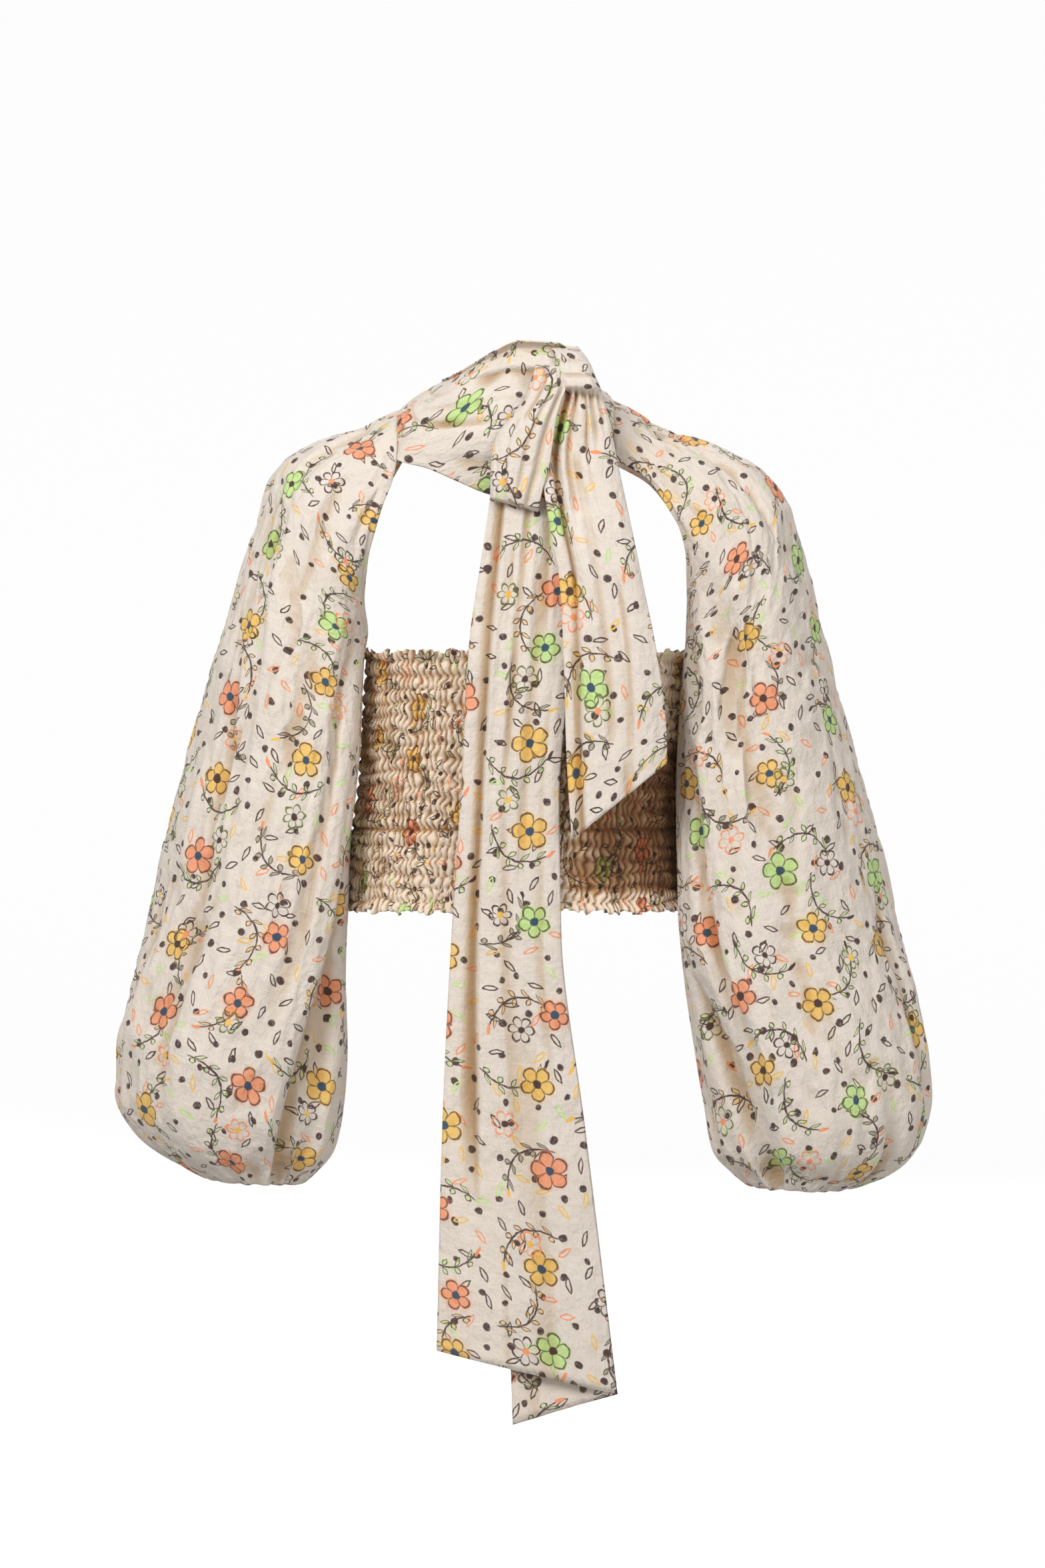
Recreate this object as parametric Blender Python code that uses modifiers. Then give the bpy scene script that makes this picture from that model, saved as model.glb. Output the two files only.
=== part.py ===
"""A cropped puff sleeve top, worn but empty: the cloth keeps the form of a general figure.

Metres in Blender, +Z up, the front faces -Y. The origin is the base of the neck, where the wearer
holds the top up. Left and right are as seen from the front, so left is -X. The tables are in
millimetres and degrees, one row for each section or fold, with the columns named above it.

Pieces, as a maker cuts them: a smocked bodice and a smocked waistband, each a front and a back; two
raglan sleeves, each one sheet rolled round the arm from its front edge to its back edge, on a cuff;
a neck band that runs round the neck into a knot, and the two tails of the tie.
"""

import math

import bmesh
import bpy
import numpy as np

MM = 0.001
CLOTH_WALL = 1.6  # the sheets of the sleeves, the band and the tie
SMOCK_WALL = 1.2  # the plain inside of the smocked pieces, under the pleats
SEAM_GAP = 0.4
NECK_SEAM_GAP = 0.7  # the two walls meet at a slant there, so the seam is wider on one side

COTTON = (0.79, 0.71, 0.62)
SMOCKED_COTTON = (0.62, 0.53, 0.44)
COTTON_ROUGHNESS = 0.85


# --- tables ---------------------------------------------------------------------------------------


def table(columns, *rows):
    """A table as one array for each named column."""
    return dict(zip(columns.split(), np.array(rows, float).T))


def smooth(x, y, at):
    """y at `at` on a smooth curve through the points (x, y) that never swings past them.

    Each span is a cubic. Its slope at a point is the harmonic mean of the chords on the two sides, or
    level where they rise and fall.
    """
    chord = np.diff(y) / np.diff(x)
    before, after = chord[:-1], chord[1:]
    same_way = before * after > 0
    mean = 2 * before * after / np.where(same_way, before + after, 1)
    slope = np.concatenate([chord[:1], np.where(same_way, mean, 0), chord[-1:]])
    i = np.clip(np.searchsorted(x, at, side="right") - 1, 0, len(x) - 2)
    span = x[i + 1] - x[i]
    t = np.clip((at - x[i]) / span, 0.0, 1.0)
    start = (1 + 2 * t) * (1 - t) ** 2 * y[i] + t * (1 - t) ** 2 * span * slope[i]
    end = t**2 * (3 - 2 * t) * y[i + 1] + t**2 * (t - 1) * span * slope[i + 1]
    return start + end


def columns_at(sections, key, at, *names):
    """The named columns of a table, each read on its smooth curve at the places `at` of the key."""
    return [smooth(sections[key], sections[name], at) for name in names]


# --- the body: bodice and waistband ---------------------------------------------------------------

TOP_EDGE_Z = -203.0
WAIST_SEAM_Z = -311.0
HEM_Z = -402.0
PLEATS_A_PANEL = 40
PLEAT_RISE = 2.4
FRILL_RISE = 1.6  # what a pleat gains in the loose frill past the last row of elastic
FRILL_DEPTH = 8.0
ZIGZAG = 0.3  # how far a smocking row sets the pleats sideways, in pleats
INNER_STEP = 4  # columns of the outer wall for each one of the plain inside

TORSO = table(
    "z mid_x half_width half_depth",
    (-404, -5, 125, 87),
    (-392, -5, 123, 83),
    (-360, -4, 123, 81),
    (-311, -2, 122, 80),
    (-256, 0, 121, 82),
    (-212, 1.7, 121.3, 81),
    (-200, 1.7, 121.7, 83),
)


def torso_point(angle, z, out, facing):
    """A point of the body's oval at an angle from the centre line, moved out along its radius."""
    mid_x, width, depth = columns_at(TORSO, "z", z, "mid_x", "half_width", "half_depth")
    x = mid_x + (width + out) * np.sin(angle)
    y = facing * (depth + out) * np.cos(angle)
    return np.stack(np.broadcast_arrays(x, y, z), axis=-1)


def smocked_panel(name, facing, top_z, bottom_z, rows, frill_at_top):
    """Half of the body between two heights: pleats raised in the outer points over a plain inside.

    Every other column of points is the crest of a pleat, and each row sets the crests to the other
    side, as the elastic does. facing is -1 for the front and 1 for the back.
    """
    columns = 2 * PLEATS_A_PANEL
    z = np.linspace(bottom_z, top_z, rows + 1)[:, None]
    column = np.arange(columns + 1)[None, :]
    row = np.arange(rows + 1)[:, None]
    half_turn = math.pi / 2 - SEAM_GAP / 2 / TORSO["half_depth"].min()
    inside_panel = (column > 0) & (column < columns)
    shift = np.where(row % 2 == 0, ZIGZAG, -ZIGZAG) * inside_panel
    angle = half_turn * (2 * (column + shift) / columns - 1)
    loose_end = top_z if frill_at_top else bottom_z
    frill = np.clip(1 - np.abs(z - loose_end) / FRILL_DEPTH, 0, 1)
    rise = (PLEAT_RISE + FRILL_RISE * frill) * (column % 2)
    scallop = FRILL_RISE * frill * np.cos(np.pi * column / 3)
    outer = torso_point(angle, z + scallop, rise, facing)

    inner_angle = half_turn * (2 * column[:, ::INNER_STEP] / columns - 1)
    inner_z = np.array([bottom_z, (bottom_z + top_z) / 2, top_z])[:, None]
    inner = torso_point(inner_angle, inner_z, -SMOCK_WALL, facing)
    return closed_wall(name, outer, inner, SMOCKED_COTTON)


# --- sleeves --------------------------------------------------------------------------------------

# A section of a sleeve is an oval arc. `along` is the length of cloth from the neck seam. The ridge is
# its outermost point, and the edge is where its front and back edges lie in the front view. `wrap` is
# the angle from the ridge to each edge: 90 at the neck seam, and 180 where the underarm seam closes
# the arc. `lean` moves its front towards the body and its back away.
CLOSED = 179.8
BACK_EDGE_SHORT = 0.09  # the open arc ends this share sooner at the back than at the front
SLEEVE_COLUMNS = "along ridge_x ridge_z edge_x edge_z wrap half_depth mid_y lean"
LEFT_SLEEVE = table(
    SLEEVE_COLUMNS,
    (0, -96, -13, -96, -55, 90, 58, 8, 0),
    (33, -128, -23, -101.5, -73, 98, 66, 8, 2),
    (66, -159, -32, -109.5, -92, 106, 72, 7, 3),
    (97, -186, -46, -117, -112, 116, 75, 5, 5),
    (129, -204, -69, -123.5, -134, 128, 77, 3, 7),
    (170, -217.5, -109, -126, -162, 145, 78, 0, 9),
    (218, -232, -157, -121.5, -190, 165, 79, -4, 12),
    (265, -247, -204, -123, -216, CLOSED, 79, -8, 17),
    (312, -261, -252, -124, -256, CLOSED, 80, -10, 24),
    (377, -277, -312, -125.5, -314, CLOSED, 82, -12, 28),
    (482, -298.5, -409, -132, -409, CLOSED, 85, -14, 28),
    (538, -310.5, -463, -135.5, -463, CLOSED, 87, -15, 22),
    (586, -319.5, -510, -135, -508, CLOSED, 87, -15, 15),
    (622, -320, -546, -137, -548, CLOSED, 84, -14, 10),
    (655, -303, -577, -144, -586, CLOSED, 74, -13, 6),
    (690, -274, -598, -158, -605, CLOSED, 58, -12, 2),
    (712, -250, -609, -171, -615, CLOSED, 47, -12, 0),
    (732, -248, -603, -178, -603, CLOSED, 40, -12, 0),
    (756, -247, -580, -181, -580, CLOSED, 35, -12, 0),
)
RIGHT_SLEEVE = table(
    SLEEVE_COLUMNS,
    (0, 70, -4.5, 70, -56, 90, 58, 8, 0),
    (33, 102, -18, 98, -72, 98, 66, 8, 2),
    (66, 134, -27.5, 112.5, -92, 106, 72, 7, 3),
    (97, 165, -39, 125, -112, 116, 75, 5, 5),
    (129, 190, -53, 130.5, -134, 128, 77, 3, 7),
    (170, 213.5, -86, 131, -160, 145, 78, 0, 9),
    (218, 227, -134, 128.4, -188, 165, 79, -4, 12),
    (265, 240, -184, 124, -216, CLOSED, 79, -8, 17),
    (312, 254, -234, 121.5, -256, CLOSED, 80, -10, 24),
    (377, 274.5, -307, 119, -312, CLOSED, 82, -12, 30),
    (482, 299.5, -411, 118, -411, CLOSED, 85, -14, 34),
    (538, 311.5, -465, 125, -465, CLOSED, 87, -15, 24),
    (586, 318.5, -512, 133, -512, CLOSED, 87, -15, 15),
    (622, 320.5, -548, 139, -549, CLOSED, 85, -14, 10),
    (655, 312, -583, 146, -588, CLOSED, 77, -13, 6),
    (690, 287, -607, 161, -606, CLOSED, 60, -12, 2),
    (712, 258, -618, 176, -617, CLOSED, 48, -12, 0),
    (732, 252, -608, 182, -608, CLOSED, 40, -12, 0),
    (756, 251, -585, 186, -585, CLOSED, 35, -12, 0),
)

# A fold is a soft trough down the cloth, from one place to another. Its angle is counted from the
# ridge, below 0 towards the front.
FOLD_COLUMNS = "start end start_angle end_angle depth width"
LEFT_FOLDS = table(
    FOLD_COLUMNS,
    (90, 690, -28, -50, 7.0, 10),
    (60, 330, -74, -104, 6.5, 9),
    (340, 700, -70, -94, 9.0, 10),
    (330, 700, -165, -112, 14.0, 12),
    (470, 640, -160, -140, 8.0, 8),
    (560, 720, -22, -30, 7.0, 9),
    (120, 640, 40, 64, 6.0, 10),
    (300, 700, 96, 110, 8.0, 10),
    (420, 700, 146, 132, 8.0, 10),
)
RIGHT_FOLDS = table(
    FOLD_COLUMNS,
    (30, 300, -84, -124, 7.0, 9),
    (170, 500, -96, -96, 6.5, 9),
    (250, 420, -52, -60, 5.0, 9),
    (400, 620, -66, -72, 7.0, 10),
    (520, 715, -148, -118, 14.0, 12),
    (600, 715, -40, -44, 7.0, 9),
    (120, 640, 44, 60, 6.0, 10),
    (300, 700, 92, 112, 8.0, 10),
    (430, 700, 144, 128, 8.0, 10),
)
SLEEVE_ROWS = 20
SLEEVE_STEPS = 36
CUFF_GATHERS = 18  # waves of cloth round the cuff
CUFF_GATHER_DEPTH = 4.0
CUFF_GATHER_START = 600.0  # along the sleeve
CUFF_GATHER_GROWTH = 100.0  # the gathers reach their depth over this length
CUFF_GATHER_END = 60.0  # and lose it over this length, just above the cuff
FOLD_EASE = 60.0  # a fold rises to its depth over this length


def fold_depth(folds, along, angle):
    """How far the folds draw the cloth in: each a bell across its line, eased in and out along it."""
    depth = np.zeros(np.broadcast(along, angle).shape)
    for start, end, start_angle, end_angle, deep, width in zip(*folds.values()):
        t = np.clip((along - start) / (end - start), 0, 1)
        centre = start_angle + (end_angle - start_angle) * t
        ease = np.clip(np.minimum(along - start, end - along) / FOLD_EASE, 0, 1)
        across = np.exp(-(((angle - centre) / width) ** 2))
        depth += deep * across * ease * ease * (3 - 2 * ease)
    return depth


def sleeve_points(sections, folds, along, turn):
    """Points of a sleeve at a length along it and a turn from -1, its front edge, to 1, its back edge.

    The arc's centre lies on the line from the edge to the ridge, a full radius from the ridge. The
    point is the centre, plus the radius towards the ridge by the cosine of the angle, plus the half
    depth towards the back by its sine, less the lean by its sine. The lean widens the oval, so that
    much is taken off its radius, and the outline in the front view stays where the table says.
    """
    ridge_x, ridge_z, edge_x, edge_z, wrap, half_depth, mid_y, lean = columns_at(
        sections, "along", along, *SLEEVE_COLUMNS.split()[1:]
    )
    wrap = np.minimum(wrap, CLOSED)
    reach_x, reach_z = ridge_x - edge_x, ridge_z - edge_z
    reach = np.hypot(reach_x, reach_z)
    full = reach / (1 - np.cos(np.radians(wrap)))
    radius = np.sqrt(full**2 - lean**2)
    open_share = (CLOSED - wrap) / (CLOSED - 90)
    degrees = turn * wrap * np.where(turn > 0, 1 - BACK_EDGE_SHORT * open_share, 1)
    angle = np.radians(degrees)
    grown = np.clip((along - CUFF_GATHER_START) / CUFF_GATHER_GROWTH, 0, 1)
    flat = np.clip((sections["along"][-1] - along) / CUFF_GATHER_END, 0, 1)
    gather = CUFF_GATHER_DEPTH * grown * flat * np.cos(np.pi * CUFF_GATHERS * turn / 2) ** 2
    drawn_in = fold_depth(folds, along, degrees) + gather
    out = (radius - drawn_in) * np.cos(angle) - full
    back = (half_depth - drawn_in) * np.sin(angle)
    inward = -np.sign(ridge_x)
    x = ridge_x + out * reach_x / reach - lean * np.sin(angle) * inward
    z = ridge_z + out * reach_z / reach
    return np.stack([x, mid_y + back, z], axis=-1)


def sleeve(name, sections, folds):
    along = np.linspace(0, sections["along"][-1], SLEEVE_ROWS + 1)[:, None]
    turn = np.linspace(-1, 1, SLEEVE_STEPS + 1)[None, :]
    points = sleeve_points(sections, folds, along, turn)
    return cloth(name, points, flip=sections["ridge_x"][0] > 0)


CUFF_HEIGHT = 22.0
CUFF_SEGMENTS = 36
CUFF_PUCKER = 0.5
CUFF_EASE = 1.0  # the cuff is this much inside the sleeve that is gathered on it


def cuff(name, sections):
    """A gathered elastic band inside the mouth of the sleeve, under its last section."""
    last = {key: column[-1] for key, column in sections.items()}
    centre_x = (last["ridge_x"] + last["edge_x"]) / 2
    radius_x = abs(last["ridge_x"] - last["edge_x"]) / 2 - CUFF_EASE
    radius_y = last["half_depth"] - CUFF_EASE
    mesh = bpy.data.meshes.new(name)
    ring = bmesh.new()
    bmesh.ops.create_cone(ring, segments=CUFF_SEGMENTS, radius1=1, radius2=1, depth=1, cap_ends=False)
    for number, vertex in enumerate(ring.verts):
        pucker = 1 + CUFF_PUCKER / radius_x * (-1) ** (number // 2)
        vertex.co.x = (centre_x + vertex.co.x * radius_x * pucker) * MM
        vertex.co.y = (last["mid_y"] + vertex.co.y * radius_y * pucker) * MM
        top = last["ridge_z"] - SEAM_GAP
        vertex.co.z = (top + (vertex.co.z - 0.5) * CUFF_HEIGHT) * MM
    ring.to_mesh(mesh)
    ring.free()
    return shell(name, mesh, CLOTH_WALL, COTTON)


# --- the neck band --------------------------------------------------------------------------------

# A station of the band: its top edge lies on the neck, and its lower edge is sewn to a sleeve's neck
# seam or is free above a keyhole. `bulge` is how far the cloth stands out between the two, and `roll`
# is the radius at which the top edge turns outwards.
def seam_point(sections, angle):
    """A point of a sleeve's neck seam, half a circle stretched along Y, a gap nearer to the neck."""
    first = {key: column[0] for key, column in sections.items()}
    height = first["ridge_z"] - first["edge_z"]
    x = first["ridge_x"] - math.copysign(NECK_SEAM_GAP, first["ridge_x"])
    y = first["mid_y"] + first["half_depth"] * math.sin(math.radians(angle))
    return x, y, first["edge_z"] + height * math.cos(math.radians(angle))


BAND_COLUMNS = "station top_x top_y top_z low_x low_y low_z bulge roll"
BAND_FRONT = table(
    BAND_COLUMNS,
    (0, -62, 7, 9, *seam_point(LEFT_SLEEVE, 0), 3, 1.0),
    (1, -61, -14, 8, *seam_point(LEFT_SLEEVE, -30), 4, 1.0),
    (2, -58, -33, 6.5, *seam_point(LEFT_SLEEVE, -60), 6, 1.2),
    (3, -49, -47, 9, *seam_point(LEFT_SLEEVE, -90), 8, 1.4),
    (4, -36, -55, 16.5, -72, -60, -64, 9, 2.0),
    (5, -19, -60, 23.5, -48, -67, -75, 8, 3.0),
    (6, -4, -62, 28, -25, -71, -84.5, 6, 4.0),
    (7, 7, -60, 31, -6, -71, -88, 4, 3.0),
)
BAND_BACK = table(
    BAND_COLUMNS,
    (0, -62, 8, 9, *seam_point(LEFT_SLEEVE, 1), 3, 1.0),
    (1, -59, 31, 10, *seam_point(LEFT_SLEEVE, 30), 4, 1.0),
    (2, -50, 50, 12, *seam_point(LEFT_SLEEVE, 60), 5, 1.0),
    (3, -34, 63, 13, *seam_point(LEFT_SLEEVE, 80), 6, 1.0),
    (4, -12, 68, 14, -12, 82, -40, 5, 1.0),
    (5, 14, 63, 15, *seam_point(RIGHT_SLEEVE, 80), 6, 1.0),
    (6, 30, 50, 18, *seam_point(RIGHT_SLEEVE, 60), 5, 1.0),
    (7, 39, 31, 22, *seam_point(RIGHT_SLEEVE, 30), 4, 1.0),
    (8, 45, 8, 26, *seam_point(RIGHT_SLEEVE, 0), 1, 1.0),
    (9, 46, -14, 28, *seam_point(RIGHT_SLEEVE, -30), 0, 1.0),
    (10, 46, -34, 28.5, *seam_point(RIGHT_SLEEVE, -60), 1, 1.5),
    (11, 42, -52, 28.5, *seam_point(RIGHT_SLEEVE, -88), 5, 1.5),
    (12, 32, -62, 29, 46, -66, -34, 3, 1.5),
)
NECK_CENTRE = np.array([-12.0, 8.0, -60.0])
BAND_RISE = 0.3  # share of the band's outward direction that is kept along Z
BAND_ROWS = 7
ROLL_ROWS = 2
FRONT_BAND_STEPS = 13
BACK_BAND_STEPS = 20
FRONT_BAND_FOLDS = 3
FRONT_BAND_FOLD_DEPTH = 3.0
FRONT_BAND_FOLD_CLIMB = 0.25  # share of the band's height that a fold climbs towards the knot


def band_points(sections, station, down):
    """Points of the band: down runs from -1, the tip of the rolled top edge, over 0, its top, to 1.

    Between its edges a station is a parabola that stands out by the bulge. Above its top edge it is
    half a circle of the roll's radius, towards the outside.
    """
    numbers = columns_at(sections, "station", station, *BAND_COLUMNS.split()[1:])
    top, low = np.stack(numbers[:3], axis=-1), np.stack(numbers[3:6], axis=-1)
    bulge, roll = numbers[6][..., None], numbers[7][..., None]
    outward = (top + low) / 2 - NECK_CENTRE
    outward[..., 2] *= BAND_RISE
    outward /= np.linalg.norm(outward, axis=-1, keepdims=True)
    upward = (top - low) / np.linalg.norm(top - low, axis=-1, keepdims=True)
    below = np.clip(down, 0, 1)[..., None]
    above = np.clip(-down, 0, 1)[..., None] * math.pi
    body = top + below * (low - top) + 4 * bulge * below * (1 - below) * outward
    rolled = roll * ((1 - np.cos(above)) * outward + np.sin(above) * upward)
    return body + rolled


def neck_band(sections, steps):
    station = np.linspace(0, sections["station"][-1], steps + 1)[:, None]
    down = np.concatenate([np.linspace(-1, 0, ROLL_ROWS + 1)[:-1], np.linspace(0, 1, BAND_ROWS + 1)])
    station, down = np.broadcast_arrays(station, down[None, :])
    return band_points(sections, station, down)


def front_band():
    """The front stretch, with long folds that run up into the knot."""
    points = neck_band(BAND_FRONT, FRONT_BAND_STEPS)
    across = np.linspace(0, 1, points.shape[0])[:, None]
    down = np.linspace(0, 1, points.shape[1])[None, :]
    wave = np.sin(2 * math.pi * FRONT_BAND_FOLDS * (down - FRONT_BAND_FOLD_CLIMB * across))
    still_edges = 4 * across * (1 - across) * np.sin(math.pi * down)
    points[..., 1] += FRONT_BAND_FOLD_DEPTH * wave * still_edges
    return cloth("neck_band_front", points, flip=False)


def back_band():
    """The back stretch, from the left shoulder round the back of the neck into the knot."""
    return cloth("neck_band_back", neck_band(BAND_BACK, BACK_BAND_STEPS), flip=True)


# --- the knot and the tails -----------------------------------------------------------------------

# A strap section runs from a left point to a right point. `y` is its middle's depth, and `round` is
# how far its two edges lie behind that.
STRAP_COLUMNS = "station left_x left_z right_x right_z y round"
KNOT = table(
    STRAP_COLUMNS,
    (0, 14, 22, 33, 25, -66, 1),
    (1, 11, 32, 33, 33, -67.5, 2),
    (2, 8, 30, 34, 31, -78, 4),
    (3, 5, 10, 33.5, 10, -87, 7),
    (4, -3, -12, 29, -13, -92, 9),
    (5, -19, -42, 24, -44, -96, 10),
    (6, -23.5, -64, 19.5, -72, -98, 9),
    (7, -24.5, -84, 12.5, -97, -96, 7),
    (8, -23, -88, 11.5, -100, -92, 4),
)
LONG_TAIL = table(
    STRAP_COLUMNS,
    (0, -23, -76, 18, -82, -85, 0),
    (1, -25.5, -95, 24, -98, -86.5, 1),
    (2, -32, -140, 33, -140, -95, 3),
    (3, -40.5, -200, 36, -200, -101, 4),
    (4, -47, -317, 27, -317, -102, 4),
    (5, -53.5, -416, 29.5, -420, -102, 4),
    (6, -60.5, -560, 48, -570, -102, 4),
    (7, -65, -733, 72, -766, -101, 4),
)
SHORT_TAIL = table(
    STRAP_COLUMNS,
    (0, 36, 14, 50, 14, -76, 0),
    (1, 33, 3, 58, 0, -87, 3),
    (2, 29, -26, 66, -28, -100, 5),
    (3, 24, -61, 72, -61, -106, 6),
    (4, 24, -105, 81, -105, -111, 6),
    (5, 28, -155, 91, -155, -113, 6),
    (6, 31, -215, 102, -211, -114, 6),
    (7, 33, -284, 108, -258, -115, 6),
    (8, 37, -347, 109, -289, -115, 6),
)
FOLD_BACK = 5.0  # the depth of the turn between the front layer and the back layer of a tail


def strap_points(sections, station, across):
    """Points of a strap's front layer: across runs from 0, its left edge, to 1, its right edge."""
    left_x, left_z, right_x, right_z, y, edge_back = columns_at(
        sections, "station", station, *STRAP_COLUMNS.split()[1:]
    )
    x = left_x + (right_x - left_x) * across
    z = left_z + (right_z - left_z) * across
    return np.stack([x, y + edge_back * (2 * across - 1) ** 2, z], axis=-1)


def grid_of(sections, rows, steps):
    station = np.linspace(0, sections["station"][-1], rows + 1)[:, None]
    return np.broadcast_arrays(station, np.linspace(0, 1, steps + 1)[None, :])


KNOT_ROWS = 12
KNOT_STEPS = 9
KNOT_PLEATS = 2.0
KNOT_PLEAT_DEPTH = 2.0


def knot():
    """The wrap of the knot: it comes over the top, down in front of the band and turns under."""
    station, across = grid_of(KNOT, KNOT_ROWS, KNOT_STEPS)
    points = strap_points(KNOT, station, across)
    points[..., 1] += KNOT_PLEAT_DEPTH * np.sin(2 * math.pi * KNOT_PLEATS * across)
    return cloth("knot", points, flip=True)


TAIL_STEPS = 12  # across the front layer
BACK_DROP_POWER = 4  # the back layer's drop comes in over the last part of the tail


def folded_tail(sections, rows, back_steps, back_reach, back_drop):
    """A strap folded at its right edge, with a back layer that reaches back across its width.

    back_reach is the back layer's share of the front layer's width, and back_drop is how far its free
    corner hangs below the fold. It returns the points, and how far across and down the front ones are.
    """
    station, across = grid_of(sections, rows, TAIL_STEPS)
    front = strap_points(sections, station, across)
    right = front[:, -1:, :]
    turn = np.linspace(0, 1, back_steps + 1)[None, 1:]
    width = front[:, -1:, 0] - front[:, :1, 0]
    down = station[:, :1] / sections["station"][-1]
    x = right[..., 0] - width * back_reach * turn
    y = right[..., 1] + FOLD_BACK * np.minimum(1, 3 * turn)
    z = right[..., 2] - back_drop * turn * down**BACK_DROP_POWER
    return np.concatenate([front, np.stack([x, y, z], axis=-1)], axis=1), across, down


LONG_TAIL_ROWS = 16
LONG_TAIL_BACK = (4, 0.58, 24.0)  # steps, reach and drop of its back layer
LONG_TAIL_STEP = 3.0  # its left strip lies this far behind the rest near the top
LONG_TAIL_STEP_AT = 0.27
LONG_TAIL_STEP_WIDTH = 0.03
LONG_TAIL_STEP_END = 0.7
LONG_TAIL_WAVES = 1.6
LONG_TAIL_WAVE_DEPTH = 1.5
LONG_TAIL_WAVE_LEAN = 0.2  # share of a wave by which the crests move sideways on the way down
LONG_TAIL_FREE = 0.08  # above this the tail lies as it comes out of the knot


def long_tail():
    """The long tail, from under the knot to below the hem, in two layers with a soft pleat."""
    points, across, down = folded_tail(LONG_TAIL, LONG_TAIL_ROWS, *LONG_TAIL_BACK)
    step = LONG_TAIL_STEP / (1 + np.exp((across - LONG_TAIL_STEP_AT) / LONG_TAIL_STEP_WIDTH))
    step *= np.clip(1 - down / LONG_TAIL_STEP_END, 0, 1)
    crests = LONG_TAIL_WAVES * across - LONG_TAIL_WAVE_LEAN * down
    wave = LONG_TAIL_WAVE_DEPTH * np.sin(2 * math.pi * crests) * np.sqrt(down)
    points[:, : across.shape[1], 1] += (step + wave) * np.clip(down / LONG_TAIL_FREE, 0, 1)
    return cloth("tail_long", points, flip=True)


SHORT_TAIL_ROWS = 10
SHORT_TAIL_BACK = (2, 0.3, -28.0)
SHORT_TAIL_WAVES = 2.5
SHORT_TAIL_WAVE_DEPTH = 2.6
SHORT_TAIL_FREE = 0.15


def short_tail():
    """The short tail, gathered at the knot and widening to its slanted end, folded at the right."""
    points, across, down = folded_tail(SHORT_TAIL, SHORT_TAIL_ROWS, *SHORT_TAIL_BACK)
    wave = SHORT_TAIL_WAVE_DEPTH * np.cos(2 * math.pi * SHORT_TAIL_WAVES * across) * (1 - across / 2)
    points[:, : across.shape[1], 1] += wave * np.clip(down / SHORT_TAIL_FREE, 0, 1)
    return cloth("tail_short", points, flip=True)


# --- meshes and objects ---------------------------------------------------------------------------


def material(name, colour):
    made = bpy.data.materials.new(name)
    made.use_nodes = True
    made.diffuse_color = (*colour, 1)
    shader = made.node_tree.nodes["Principled BSDF"]
    shader.inputs["Base Color"].default_value = (*colour, 1)
    shader.inputs["Roughness"].default_value = COTTON_ROUGHNESS
    shader.inputs["Metallic"].default_value = 0.0
    return made


def add(name, mesh, colour):
    obj = bpy.data.objects.new(name, mesh)
    mesh.materials.append(material(name, colour))
    mesh.shade_smooth()
    obj.parent = bpy.data.objects["held_at_neck"]
    bpy.data.collections["puff_sleeve_top"].objects.link(obj)
    return obj


def shell(name, mesh, wall, colour):
    """An open surface with a wall: the surface is the wall's outside."""
    obj = add(name, mesh, colour)
    solidify = obj.modifiers.new("wall", "SOLIDIFY")
    solidify.thickness = wall * MM
    solidify.offset = -1
    return obj


def grid_faces(rows, steps, first=0):
    """Four corners for each cell of a grid of points, numbered along its rows."""
    corner = first + np.arange(rows * (steps + 1)).reshape(rows, steps + 1)[:, :-1]
    cells = np.stack([corner, corner + 1, corner + steps + 2, corner + steps + 1], axis=-1)
    return cells.reshape(-1, 4)


def cloth(name, points, flip):
    """A sheet of cloth through a grid of points, its faces turned outwards, with its wall inside."""
    rows, steps = points.shape[0] - 1, points.shape[1] - 1
    faces = grid_faces(rows, steps)
    if flip:
        faces = faces[:, ::-1]
    mesh = bpy.data.meshes.new(name)
    mesh.from_pydata((points.reshape(-1, 3) * MM).tolist(), [], faces.tolist())
    return shell(name, mesh, CLOTH_WALL, COTTON)


def closed_wall(name, outer, inner, colour):
    """A wall between a fine outer grid and a coarse inner one, its rims one face for each inner step."""
    rows, steps = outer.shape[0] - 1, outer.shape[1] - 1
    inner_rows, inner_steps = inner.shape[0] - 1, inner.shape[1] - 1
    first = outer.shape[0] * outer.shape[1]
    out = np.arange(first).reshape(outer.shape[:2])
    inn = first + np.arange(inner.shape[0] * inner.shape[1]).reshape(inner.shape[:2])
    faces = grid_faces(rows, steps).tolist() + grid_faces(inner_rows, inner_steps, first).tolist()
    wide = steps // inner_steps
    for end in (0, -1):
        for step in range(inner_steps):
            run = out[end, step * wide : (step + 1) * wide + 1].tolist()
            faces.append(run + [int(inn[end, step + 1]), int(inn[end, step])])
        faces.append(out[:, end].tolist() + inn[::-1, end].tolist())
    mesh = bpy.data.meshes.new(name)
    points = np.concatenate([outer.reshape(-1, 3), inner.reshape(-1, 3)]) * MM
    mesh.from_pydata(points.tolist(), [], faces)
    whole = bmesh.new()
    whole.from_mesh(mesh)
    bmesh.ops.recalc_face_normals(whole, faces=whole.faces)
    whole.to_mesh(mesh)
    whole.free()
    return add(name, mesh, colour)


def clear_scene():
    for obj in list(bpy.data.objects):
        bpy.data.objects.remove(obj)


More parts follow.
